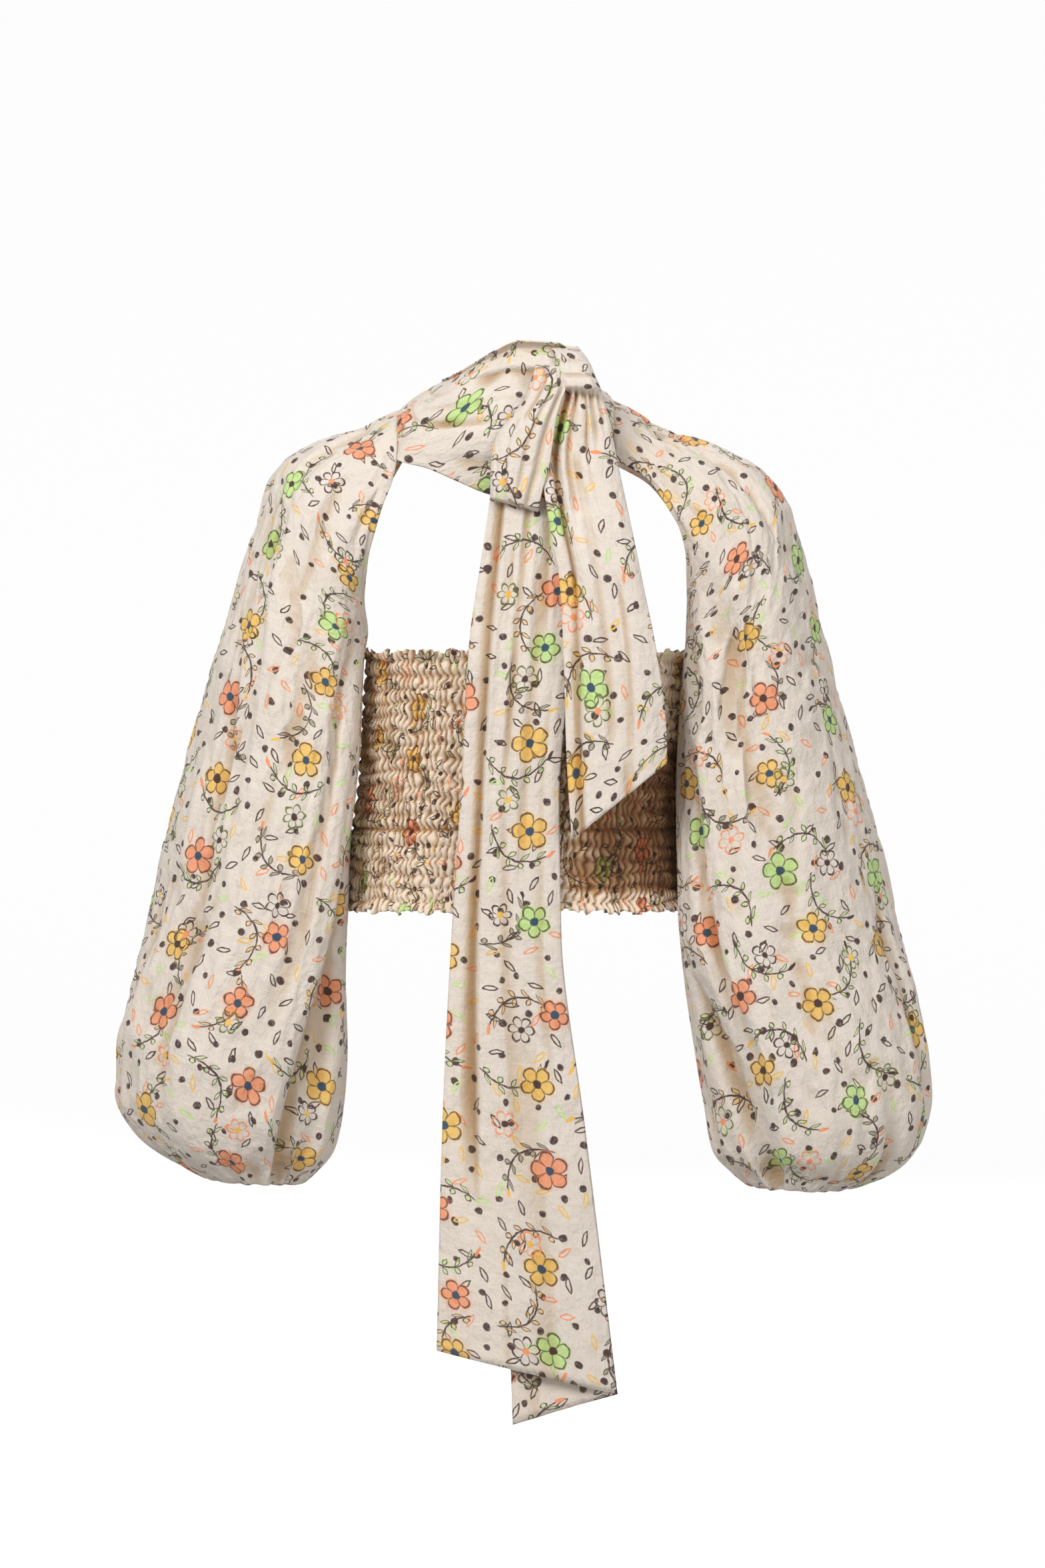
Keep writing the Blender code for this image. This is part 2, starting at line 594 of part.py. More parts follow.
def main():
    clear_scene()
    collection = bpy.data.collections.new("puff_sleeve_top")
    bpy.context.scene.collection.children.link(collection)
    collection.objects.link(bpy.data.objects.new("held_at_neck", None))

    smocked_panel("bodice_front", -1, TOP_EDGE_Z, WAIST_SEAM_Z + SEAM_GAP, 6, frill_at_top=True)
    smocked_panel("bodice_back", 1, TOP_EDGE_Z, WAIST_SEAM_Z + SEAM_GAP, 6, frill_at_top=True)
    smocked_panel("waistband_front", -1, WAIST_SEAM_Z, HEM_Z, 5, frill_at_top=False)
    smocked_panel("waistband_back", 1, WAIST_SEAM_Z, HEM_Z, 5, frill_at_top=False)

    sleeve("sleeve_left", LEFT_SLEEVE, LEFT_FOLDS)
    sleeve("sleeve_right", RIGHT_SLEEVE, RIGHT_FOLDS)
    cuff("cuff_left", LEFT_SLEEVE)
    cuff("cuff_right", RIGHT_SLEEVE)

    front_band()
    back_band()
    knot()
    long_tail()
    short_tail()


main()
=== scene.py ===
# %% [markdown]
# # A puff sleeve top, worn but empty
#
# This lesson dresses the imported model of a cropped cotton top. The top has two raglan balloon
# sleeves, a smocked bodice and waistband, and a neck band that is tied into a knot with two tails.
# Every piece of cloth is a surface worked out with numpy on a grid of two parameters, and every
# colour comes from shader nodes. Left and right are as seen from the front, so left is -X.
#
# The first cell loads the imported model and bakes each part's place into its mesh; the dressed
# model has the same size. The dressed model has to have the same size.

import math

import bpy
import numpy as np
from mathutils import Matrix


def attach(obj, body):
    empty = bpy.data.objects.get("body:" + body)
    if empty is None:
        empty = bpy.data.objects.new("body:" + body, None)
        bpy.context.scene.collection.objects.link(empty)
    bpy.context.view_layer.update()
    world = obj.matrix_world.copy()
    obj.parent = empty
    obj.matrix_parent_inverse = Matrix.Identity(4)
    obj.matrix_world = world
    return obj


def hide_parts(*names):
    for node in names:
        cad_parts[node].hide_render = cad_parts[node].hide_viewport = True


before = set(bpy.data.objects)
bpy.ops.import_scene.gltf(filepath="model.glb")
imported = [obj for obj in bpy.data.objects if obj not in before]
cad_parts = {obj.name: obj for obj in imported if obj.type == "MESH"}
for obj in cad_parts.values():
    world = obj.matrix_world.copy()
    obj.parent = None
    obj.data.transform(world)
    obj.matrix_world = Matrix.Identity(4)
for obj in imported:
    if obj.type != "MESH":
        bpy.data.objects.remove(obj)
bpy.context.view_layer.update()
MM = 0.001

# %% [markdown]
# ## The camera
#
# A photograph fixes where the camera stood. Here one pixel is 0.52 mm in the plane of the neck,
# and the camera looked along +Y from 3 m away. A lens length in Blender belongs to a sensor 36 mm
# long, so it is 36 mm times the distance over the height of what the camera sees.

# %% The camera
PIXEL = 0.52 * MM
PHOTO_HEIGHT = 2353 * PIXEL
CAMERA_DISTANCE = 3.0
CAMERA_HEIGHT = -0.305
SENSOR = 36.0


def placed(name, data):
    """A new object in the scene, for a mesh, a lamp or a camera."""
    thing = bpy.data.objects.new(name, data)
    bpy.context.scene.collection.objects.link(thing)
    return thing


lens = bpy.data.cameras.new("camera")
lens.sensor_width = SENSOR
lens.lens = SENSOR * CAMERA_DISTANCE / PHOTO_HEIGHT
camera = placed("camera", lens)
camera.location = (0, -CAMERA_DISTANCE, CAMERA_HEIGHT)
camera.rotation_euler = (math.pi / 2, 0, 0)
bpy.context.scene.camera = camera
print(f"lens {lens.lens:.1f} mm")

# %% [markdown]
# ## Reading tables
#
# The form of each piece is a short table: one row for each place along the piece, with the columns
# named above it. Between the rows the numbers follow a smooth curve that never swings past them,
# so a sleeve doesn't bulge where the table doesn't say so.


# %% Tables and smooth curves
def table(columns, *rows):
    """A table as one array for each named column."""
    return dict(zip(columns.split(), np.array(rows, float).T))


def smooth(x, y, at):
    """y at `at`: cubics whose slope at a point is the harmonic mean of the chords beside it."""
    chord = np.diff(y) / np.diff(x)
    before, after = chord[:-1], chord[1:]
    same_way = before * after > 0
    mean = 2 * before * after / np.where(same_way, before + after, 1)
    slope = np.concatenate([chord[:1], np.where(same_way, mean, 0), chord[-1:]])
    i = np.clip(np.searchsorted(x, at, side="right") - 1, 0, len(x) - 2)
    span = x[i + 1] - x[i]
    t = np.clip((at - x[i]) / span, 0.0, 1.0)
    start = (1 + 2 * t) * (1 - t) ** 2 * y[i] + t * (1 - t) ** 2 * span * slope[i]
    end = t**2 * (3 - 2 * t) * y[i + 1] + t**2 * (t - 1) * span * slope[i + 1]
    return start + end


def columns_at(sections, at):
    """All columns of a table but the first, at the places `at` of the first."""
    key, *names = sections
    return [smooth(sections[key], sections[name], at) for name in names]


def ramp(low, high, x):
    """0 below low, 1 above high, and a soft S between them: t squared times (3 - 2t)."""
    t = np.clip((x - low) / (high - low), 0, 1)
    return t * t * (3 - 2 * t)


print("half way between 0 and 1:", smooth(np.array([0.0, 1, 2]), np.array([0.0, 1, 4]), 0.5))

# %% [markdown]
# ## Creases
#
# A crease is a soft trough that runs down the cloth. Real ones are steeper on one side, where the
# cloth rolls over, so each is a bell with a different width on its two sides. The main ones are
# placed one by one from the photograph; small ones come from a seeded generator, uneven in length,
# depth and spacing, so that the result is the same at each run.

# %% Creases
CREASE_COLUMNS = "start end start_at end_at depth width skew"


def creases(folds, along, across, ease, turn=None):
    """How deep the creases are at a place.

    Each is a bell across its line: e to the minus square of (distance / width), where the width is
    multiplied by the skew on one side and divided by it on the other. It fades in and out over
    `ease` along the line. `turn` is the full circle of `across` on a closed tube.
    """
    depth = np.zeros(np.broadcast(along, across).shape)
    for start, end, start_at, end_at, deep, width, skew in zip(*folds.values()):
        t = np.clip((along - start) / (end - start), 0, 1)
        away = across - (start_at + (end_at - start_at) * t)
        if turn:
            away = (away + turn / 2) % turn - turn / 2
        side = np.where(away < 0, width * skew, width / skew)
        fade = ramp(0, ease, np.minimum(along - start, end - along))
        depth += deep * fade * np.exp(-((away / side) ** 2))
    return depth


def small_creases(seed, count, along, across, depth, width, length, drift):
    """`count` random creases: each range is a pair of lowest and highest value."""
    random = np.random.default_rng(seed)
    start = random.uniform(*along, count)
    at = random.uniform(*across, count)
    rows = [
        start,
        start + random.uniform(*length, count),
        at,
        at + random.uniform(-drift, drift, count),
        random.uniform(*depth, count) * random.choice([-0.6, 1.0], count),
        random.uniform(*width, count),
        np.exp(random.uniform(-0.5, 0.5, count)),
    ]
    return dict(zip(CREASE_COLUMNS.split(), rows))


def together(*several):
    """Tables with the same columns, one below the other."""
    return {key: np.concatenate([one[key] for one in several]) for key in several[0]}


def wobble(seed, x, longest, count=5):
    """A smooth uneven wave of x, about -1 to 1: a sum of sines of random length and phase."""
    random = np.random.default_rng(seed)
    total = np.zeros(np.shape(x))
    for part in range(count):
        length = longest / (1 + part * random.uniform(0.6, 0.9))
        total = total + np.sin(2 * np.pi * (x / length + random.uniform())) / (1 + part / 2)
    return total / 2


def ripple(seed, x, y, longest, count=9):
    """A smooth uneven field: sines in random directions, over the root of their number."""
    random = np.random.default_rng(seed)
    total = np.zeros(np.broadcast(x, y).shape)
    for turn, length, phase in random.uniform((0, 0.5, 0), (2 * np.pi, 1.2, 1), (count, 3)):
        along = (x * np.cos(turn) + y * np.sin(turn)) / (length * longest)
        total += np.sin(2 * np.pi * (along + phase))
    return total / math.sqrt(count)


print("a crease 5 deep:", creases(table(CREASE_COLUMNS, (0, 100, 0, 0, 5, 10, 1)), 50.0, 0.0, 10))

# %% [markdown]
# ## From points to cloth
#
# A grid of points becomes a mesh with one face for each cell. Its UV map is the flat cloth, in
# metres, so the weave and the print keep their size and turn with the folds. Solidify then gives
# the sheet its thickness on the inside, the imported node that it stands for is hidden, and the
# sheet hangs from the root.


# %% Grids of points
def grid(*parts):
    """Points from their coordinates, each of which is a number, a row, a column or an array."""
    return np.stack(np.broadcast_arrays(*parts), axis=-1)


def length_along(points, axis):
    """How far each point of a grid is from the first one, measured along the surface."""
    step = np.linalg.norm(np.diff(points, axis=axis), axis=-1)
    zero = np.zeros_like(np.take(step, [0], axis=axis))
    return np.concatenate([zero, np.cumsum(step, axis=axis)], axis=axis)


def refine(points):
    """The grid with a point between each two, at (9 * the nearer two - the farther two) / 16."""
    for axis in (0, 1):
        a = np.moveaxis(points, axis, 0)
        before = np.concatenate([2 * a[:1] - a[1:2], a[:-2]])
        after = np.concatenate([a[2:], 2 * a[-1:] - a[-2:-1]])
        finer = np.empty((2 * len(a) - 1, *a.shape[1:]))
        finer[::2] = a
        finer[1::2] = (9 * (a[:-1] + a[1:]) - before - after) / 16
        points = np.moveaxis(finer, 0, axis)
    return points


def normals(points, flip):
    """The outward direction at each point: the cross product of the grid's two directions."""
    down, across = np.gradient(points, axis=0), np.gradient(points, axis=1)
    cross = np.cross(down, across) * (1 if flip else -1)
    return cross / (np.linalg.norm(cross, axis=-1, keepdims=True) + 1e-9)


def blurred(points, reach):
    """The mean over `reach` cells each way along both axes, taken twice for a rounder bell."""
    width = 2 * reach + 1
    for axis in (0, 1, 0, 1):
        padding = [(reach + 1, reach) if i == axis else (0, 0) for i in range(3)]
        sums = np.cumsum(np.pad(points, padding, "edge"), axis=axis)
        low = np.arange(points.shape[axis])
        points = (np.take(sums, low + width, axis=axis) - np.take(sums, low, axis=axis)) / width
    return points


# How far the blur reaches, and how deep in mm a fold must be for full painted shade.
SHADE_REACH = 6
FOLD_SHADE_DEPTH = 3.0


def painted_fold_shade(points, flip, deep):
    """Painted fold shade: how far each point lies under the blurred cloth, as a share of `deep`,
    which is in mm.
    """
    under = blurred(points, SHADE_REACH) - points
    return (under * normals(points, flip)).sum(axis=-1) / deep


print("refined:", refine(np.arange(3.0)[:, None, None] * np.ones((1, 2, 3)))[:, 0, 0])


# %% A sheet of cloth
def grid_mesh(name, points, uv, flip):
    """A mesh with four corners for each cell of the grid, its points in metres, with the UV map."""
    rows, steps = points.shape[0] - 1, points.shape[1] - 1
    corner = np.arange(rows * (steps + 1)).reshape(rows, steps + 1)[:, :-1]
    cells = np.stack([corner, corner + 1, corner + steps + 2, corner + steps + 1], axis=-1)
    cells = cells.reshape(-1, 4)[:, :: -1 if flip else 1]
    mesh = bpy.data.meshes.new(name)
    mesh.vertices.add(points[..., 0].size)
    mesh.vertices.foreach_set("co", points.astype(np.float32).ravel())
    mesh.loops.add(cells.size)
    mesh.loops.foreach_set("vertex_index", cells.astype(np.int32).ravel())
    mesh.polygons.add(len(cells))
    mesh.polygons.foreach_set("loop_start", np.arange(0, cells.size, 4, dtype=np.int32))
    mesh.uv_layers.new(name="cloth").data.foreach_set(
        "uv", uv.reshape(-1, 2)[cells.ravel()].astype(np.float32).ravel()
    )
    mesh.update(calc_edges=True)
    mesh.validate()
    mesh.shade_smooth()
    return mesh


CLOTH_WALL = 0.7 * MM


def cloth(name, node, points, uv, flip, painted_shade, slot="printed_cotton"):
    """A sheet of cloth through the points, given in mm, with its wall on the inside.

    The shade share, from 0 to 1, is how much shade is painted into each point's colour, mostly how
    deep in a fold it lies; the material is the cotton that the slot names.
    """
    piece = placed(name, grid_mesh(name, points * MM, uv * MM, flip))
    # The painted shade is stored on the points for the material to darken the colour.
    shaded = piece.data.attributes.new("painted_shade", "FLOAT", "POINT")
    shaded.data.foreach_set("value", np.clip(painted_shade, 0, 1).astype(np.float32).ravel())
    piece.data.materials.append(COTTONS[slot])
    solidify = piece.modifiers.new("thickness", "SOLIDIFY")
    solidify.thickness = CLOTH_WALL
    solidify.offset = -1
    solidify.use_even_offset = False
    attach(piece, "root")
    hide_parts(node)
    areas = np.empty(len(piece.data.polygons), np.float32)
    piece.data.polygons.foreach_get("area", areas)
    print(f"{name}: {len(areas)} faces, {areas.sum():.4f} square metres")
    return piece


print(f"cloth {CLOTH_WALL / MM:.1f} mm thick")

# %% [markdown]
# ## Shader maths as Python
#
# A pattern is a long sum of small steps, and wiring each one by hand hides what it means. This
# class wraps a socket, so `1 - mask * 2` adds two Math nodes. Python calls the reflected operator
# when a plain number stands on the left. The operators differ only in what the Math node does, so
# two helpers make them all.


# %% Sockets that take part in sums
def in_order(operation):
    """A method for a Math node with its own socket first."""
    return lambda self, *others: self.maths(operation, *others)


def reflected(operation):
    """A method for a Math node with its own socket second, after the number on the left."""
    return lambda self, left: self.shader.make("Math", {"operation": operation}, {0: left, 1: self})


class Socket:
    """One number of a shader, which Python's operators turn into Math nodes."""

    def __init__(self, shader, socket):
        self.shader = shader
        self.socket = socket

    def maths(self, operation, *others):
        """A Math node of any operation, on this socket and the others."""
        return self.shader.make("Math", {"operation": operation}, dict(enumerate((self, *others))))

    __add__, __radd__ = in_order("ADD"), reflected("ADD")
    __sub__, __rsub__ = in_order("SUBTRACT"), reflected("SUBTRACT")
    __mul__, __rmul__ = in_order("MULTIPLY"), reflected("MULTIPLY")
    __truediv__ = in_order("DIVIDE")
    __pow__, __rpow__ = in_order("POWER"), reflected("POWER")
    __abs__ = in_order("ABSOLUTE")
    floor, fract = in_order("FLOOR"), in_order("FRACT")
    sin, cos = in_order("SINE"), in_order("COSINE")
    sqrt, most = in_order("SQRT"), in_order("MAXIMUM")

    def ramp(self, low, high):
        """0 below low, 1 above high, soft between; the other way round if low is above high."""
        if low > high:
            return 1 - self.ramp(high, low)
        settings = {"interpolation_type": "SMOOTHSTEP"}
        return self.shader.make("MapRange", settings, {0: self, 1: low, 2: high})


print("sockets can be added, taken off, multiplied, divided and raised to a power")

# %% [markdown]
# ## Nodes as calls
#
# A material in Blender is a small graph: nodes, and links between their sockets. Every node here
# comes from `make`, which sets the node's own settings first and then feeds its sockets, because
# a setting can change which sockets there are.


# %% A material under construction
class Shader:
    """A material under construction."""

    def __init__(self, name):
        self.material = bpy.data.materials.new(name)
        self.material.use_nodes = True
        self.tree = self.material.node_tree
        self.tree.nodes.clear()

    def make(self, kind, settings=None, inputs=None, output=0):
        """Any node: its settings, then the values or links of its sockets."""
        node = self.tree.nodes.new("ShaderNode" + kind)
        for setting, value in (settings or {}).items():
            setattr(node, setting, value)
        for key, value in (inputs or {}).items():
            if isinstance(value, Socket):
                self.tree.links.new(value.socket, node.inputs[key])
            else:
                node.inputs[key].default_value = value
        return Socket(self, node.outputs[output]) if node.outputs else None

    def vector(self, x, y, z=0.0):
        """Three numbers as one vector."""
        return self.make("CombineXYZ", None, {0: x, 1: y, 2: z})

    def parts(self, vector):
        """The three numbers of a vector or a colour."""
        first = self.make("SeparateXYZ", None, {0: vector})
        return [Socket(self, output) for output in first.socket.node.outputs]

    def mix(self, share, first, second):
        """The first colour where share is 0, and the second where it is 1."""
        return self.make("Mix", {"data_type": "RGBA"}, {0: share, 6: first, 7: second}, output=2)

    def noise(self, vector, scale, detail=2.0, roughness=0.5):
        """Noise of 0 to 1: detail layers, each twice as fine and roughness times as strong."""
        inputs = {"Vector": vector, "Scale": scale, "Detail": detail, "Roughness": roughness}
        return self.make("TexNoise", None, inputs)


def seen(red, green, blue):
    """A colour as a screen shows it, 0 to 255, in the linear light that shaders use."""
    share = np.array([red, green, blue]) / 255
    linear = np.where(share <= 0.04045, share / 12.92, ((share + 0.055) / 1.055) ** 2.4)
    return (*linear.tolist(), 1.0)


print("ecru in linear light:", np.round(seen(232, 222, 210), 3))

# %% [markdown]
# ## A small tossed floral
#
# The cloth carries a light summer print: round blossoms, leafy sprigs, buds and dots, tossed on an
# ecru ground. Each kind of motif has its own half-drop grid: the cloth is cut into cells, every
# other column is set half a cell down, and white noise gives each cell its own turn, place, size
# and colour. All sizes are in mm of flat cloth.

# %% The colours
ECRU = seen(241, 231, 220)
BROWN = seen(84, 63, 60)
MARIGOLD = seen(252, 204, 104)
LIME = seen(204, 236, 148)
CORAL = seen(255, 164, 118)
SLATE = seen(66, 88, 108)
OLIVE = seen(118, 128, 62)
print("lime in linear light:", np.round(LIME, 3))


# %% Cells and choices
def cells(shader, x, y, width, height, room, seed):
    """Half-drop cells: the place from each cell's own centre, after a random shift and turn.

    The centre moves by up to `room` either way. It returns the turned place and two random numbers.
    """
    column = (x / width).floor()
    down = y / height + (column * 0.5).fract()
    noise = shader.make(
        "TexWhiteNoise",
        {"noise_dimensions": "3D"},
        {"Vector": shader.vector(column, down.floor(), seed)},
        output=1,
    )
    first, second, third = shader.parts(noise)
    away_x = ((x / width).fract() - 0.5) * width - (first - 0.5) * (2 * room)
    away_y = (down.fract() - 0.5) * height - (second - 0.5) * (2 * room)
    turn = third * (2 * math.pi)
    cosine, sine = turn.cos(), turn.sin()
    return (
        away_x * cosine - away_y * sine,
        away_x * sine + away_y * cosine,
        (first * 7.31 + third * 3.7).fract(),
        (second * 5.17 + first * 2.3).fract(),
    )


def pick(shader, chance, colours):
    """One of the colours, each for an equal share of the chance from 0 to 1."""
    chosen = colours[0]
    for number, colour in enumerate(colours[1:], 1):
        over = chance.maths("GREATER_THAN", number / len(colours))
        chosen = shader.mix(over, chosen, colour)
    return chosen


print("ways to toss a motif and to pick its colour")


# %% The motifs
def blossom(x, y, chance, petals, reach):
    """A round flower: masks of the petals' wash, of their drawn edge, and of the eye.

    Its edge is at reach times (0.5 + 0.5 * the root of |cos of half the petals' turn|).
    """
    radius = (x * x + y * y).sqrt()
    turn = y.maths("ARCTAN2", x)
    lobe = abs((turn * (petals / 2)).cos()).sqrt()
    edge = (lobe * 0.5 + 0.5) * reach * (chance * 0.25 + 0.85)
    wash = (edge - radius).ramp(-2.4, 2.0)
    line = (abs(edge - radius - 0.9) - 0.8).ramp(0.35, -0.35)
    notch = abs((turn * (petals / 2)).sin()).ramp(0.94, 0.99) * (edge - radius).ramp(0, 0.5)
    eye = (radius - reach * 0.24).ramp(0.5, -0.5)
    return wash, line.most(notch * 0.8), eye


def sprig(x, y, reach, pairs):
    """A bent stem with pairs of pointed leaves: masks of its lines, its leaves and its tip's bud.

    The stem is a parabola. A leaf is the lens |across| < wide * (1 - (along / long) squared) at 45
    degrees, and repeats along the stem with the fraction of its length.
    """
    bent = y - x * x / (reach * 1.6) + reach * 0.15
    on_stem = (abs(x) - reach).ramp(0.4, -0.4)
    stem = (abs(bent) - 0.8).ramp(0.35, -0.35) * on_stem
    pitch = 2 * reach / pairs
    place = ((x / pitch + 0.5 * pairs).fract() - 0.5) * pitch
    out = abs(bent) - 3.6
    across = (place - out * 0.7) * 0.8
    along = (out + place * 0.7) * 0.8
    lens = (1 - (along / 3.4) ** 2) * 1.7 - abs(across)
    leaf = lens.ramp(-0.25, 0.25) * (abs(x) - reach * 0.92).ramp(0.4, -0.4)
    line = (abs(lens - 0.1) - 0.5).ramp(0.25, -0.25) * leaf.ramp(0.0, 0.3)
    tip_x, tip_y = x - reach - 1.5, bent
    bud = ((tip_x * tip_x + tip_y * tip_y).sqrt() - 2.4).ramp(0.4, -0.4)
    return stem.most(line), leaf, bud


def seed_shape(x, y, long, wide):
    """A pointed seed, drawn as an outline: the lens |x| < wide * (1 - (y / long) squared)."""
    lens = (1 - (y / long) ** 2) * wide - abs(x)
    return (abs(lens - 0.55) - 0.6).ramp(0.25, -0.25) * lens.ramp(-0.2, 0.1)


print("motifs: blossom, sprig, seed and dot")

# %% [markdown]
# ## The print
#
# A screen printer lays one colour over the other, and so does this function. Each layer is a mask
# and a colour, and a Mix node puts it over what is there. The ink is uneven, as brushed lines are.


# %% The motifs, one over the other
def printed_on(shader, colour, x, y, ink, seed):
    """The ground with every motif over it: dots and seeds, sprigs, blossoms, line flowers."""
    dot_x, dot_y, dot_chance, _ = cells(shader, x, y, 22, 27, 7, seed + 11)
    dot = ((dot_x * dot_x + dot_y * dot_y * 1.4).sqrt() - dot_chance * 1.2 - 2.3).ramp(0.5, -0.4)

    seed_x, seed_y, seed_chance, seed_colour = cells(shader, x, y, 16, 26, 3, seed + 23)
    drawn = seed_shape(seed_x, seed_y, 6.6, 2.3)
    seed_paints = [BROWN, CORAL, BROWN, MARIGOLD, BROWN, LIME]

    sprig_x, sprig_y, sprig_chance, sprig_colour = cells(shader, x, y, 67, 58, 3, seed + 37)
    lines, leaf, bud = sprig(sprig_x, sprig_y, 25, 5)

    far_x, far_y, far_chance, far_colour = cells(shader, x + 31, y + 17, 83, 64, 12, seed + 53)
    wash, edge, eye = blossom(far_x, far_y, far_chance, 5, 14)
    halo = (far_x * far_x + far_y * far_y).sqrt().ramp(17, 6)
    petal = pick(shader, far_colour, [MARIGOLD, CORAL, LIME, MARIGOLD, CORAL])

    line_x, line_y, line_chance, line_colour = cells(shader, x - 11, y + 40, 71, 83, 14, seed + 71)
    _, line_edge, line_eye = blossom(line_x, line_y, line_chance, 6, 11)
    for mask, paint in (
        (dot * ink * dot_chance.ramp(0.12, 0.14), BROWN),
        (drawn * ink * seed_chance.ramp(0.15, 0.17), pick(shader, seed_colour, seed_paints)),
        (leaf * 0.55, pick(shader, sprig_colour, [LIME, MARIGOLD, OLIVE, LIME])),
        (lines * ink, BROWN),
        (bud, pick(shader, sprig_chance, [CORAL, MARIGOLD, BROWN])),
        (halo * 0.35, petal),
        (wash * 0.85, petal),
        (edge * ink * 0.9, BROWN),
        (eye, pick(shader, far_chance, [SLATE, BROWN, SLATE])),
        (line_edge * ink, pick(shader, line_colour, [BROWN, OLIVE, CORAL, BROWN])),
        (line_eye, pick(shader, line_chance, [MARIGOLD, BROWN, CORAL])),
    ):
        colour = shader.mix(mask, colour, paint)
    return colour


print("layers: dots, seeds, sprigs, blossoms and line flowers")

# %% [markdown]
# ## The cotton
#
# Light plain-weave cotton lets some light through, is matt, and shows threads of uneven thickness.
# The ground is tinted by long thin noise for those slubs and by a broad soft one for handling. Bump
# carries the small crumples that are finer than the mesh; nothing but colour, roughness and the
# normal varies over the cloth.

# %% The cotton's surface
THREADS_APART = 0.9
UNSTEADY_HAND = 2.4
LIGHT_THROUGH = 0.14


def cotton(name, shade, seed, crumple, deep):
    """A material for printed cotton.

    `shade` tints the ground and `crumple` is the bump's height. Shade is painted into the colour:
    it is multiplied by `deep`, a warm dark, to the power of the painted shade attribute, which
    stands in for the light that bounces in a fold. The weave is the product of two sines, as far
    apart as the threads.
    """
    shader = Shader(name)
    uv = shader.make("UVMap", {"uv_map": "cloth"})
    flat_x, flat_y, _ = shader.parts(uv)

    def noise(x, y, layer, *look):
        """Noise at a place on the cloth, with a pattern of its own for each seed and layer."""
        return shader.noise(shader.vector(x, y, seed + layer), *look)

    x = flat_x * 1000 + (noise(flat_x, flat_y, 0, 160, 1.0) - 0.5) * UNSTEADY_HAND
    y = flat_y * 1000 + (noise(flat_x, flat_y, 7, 160, 1.0) - 0.5) * UNSTEADY_HAND
    slubs = noise(flat_x * 40, flat_y * 900, 0, 1.0, 3.0)
    slubs = slubs + noise(flat_x * 900, flat_y * 40, 3, 1.0, 3.0)
    handled = noise(flat_x, flat_y, 0, 14, 3.0, 0.6)
    tint = (slubs - 1.0) * 0.3 + (handled - 0.5) * 0.25 + 0.5
    light = tuple(1.06 * part for part in shade[:3]) + (1.0,)
    dark = (0.86 * shade[0], 0.83 * shade[1], 0.79 * shade[2], 1.0)
    ground = shader.mix(tint.ramp(0.2, 0.8), dark, light)
    ink = noise(flat_x, flat_y, 5, 420, 2.0).ramp(0.25, 0.55) * 0.25 + 0.75
    colour = printed_on(shader, ground, x, y, ink, seed)

    # Painted fold shade: each piece's attribute darkens the colour towards the warm dark `deep`.
    painted_shade = shader.make("Attribute", {"attribute_name": "painted_shade"}, output=2)
    shadow = shader.vector(*(part**painted_shade for part in seen(*deep)[:3]))
    colour = shader.make("VectorMath", {"operation": "MULTIPLY"}, {0: colour, 1: shadow})

    thread = 2000 * math.pi / THREADS_APART
    weave = (flat_x * thread).sin() * (flat_y * thread).sin()
    soft = noise(flat_x * 1.6, flat_y, 2, 26, 4.0, 0.55)
    fine = noise(flat_x, flat_y * 0.7, 4, 95, 3.0, 0.6)
    height = soft + abs(fine - 0.5) * 0.35 + weave * 0.006 + slubs * 0.04
    bump = shader.make("Bump", None, {"Strength": 1.0, "Distance": crumple * MM, "Height": height})
    matt = shader.make(
        "BsdfPrincipled",
        None,
        {
            "Base Color": colour,
            "Roughness": tint * 0.1 + 0.78,
            "Normal": bump,
            "Specular IOR Level": 0.25,
            "Sheen Weight": 0.15,
            "Sheen Roughness": 0.5,
        },
    )
    through = shader.make("BsdfTranslucent", None, {"Color": seen(238, 226, 208), "Normal": bump})
    both = shader.make("MixShader", None, {0: LIGHT_THROUGH, 1: matt, 2: through})
    shader.make("OutputMaterial", None, {"Surface": both})
    print(f"{name}: {len(shader.tree.nodes)} nodes")
    return shader.material


# The last colour of each cotton is the warm dark of its painted fold shade.
COTTONS = {
    "printed_cotton": cotton("printed_cotton_cloth", ECRU, 1.0, 6.0, (190, 162, 128)),
    "smocked_cotton": cotton("smocked_cotton_cloth", seen(250, 234, 214), 2.0, 1.5, (98, 62, 36)),
}

# %% [markdown]
# ## The sleeves
#
# A balloon sleeve is one wide sheet, rolled round the arm and gathered on elastic at the wrist,
# where it blouses over. Its section is an oval arc: half a circle at the neck seam, and closed from
# the underarm down. The table gives, for each length of cloth from the neck seam, where the
# outermost point (the ridge) and the inner edges lie in the front view. It repeats the packed
# model's own numbers, in mm, so that the dressed sleeve lies on its solid.

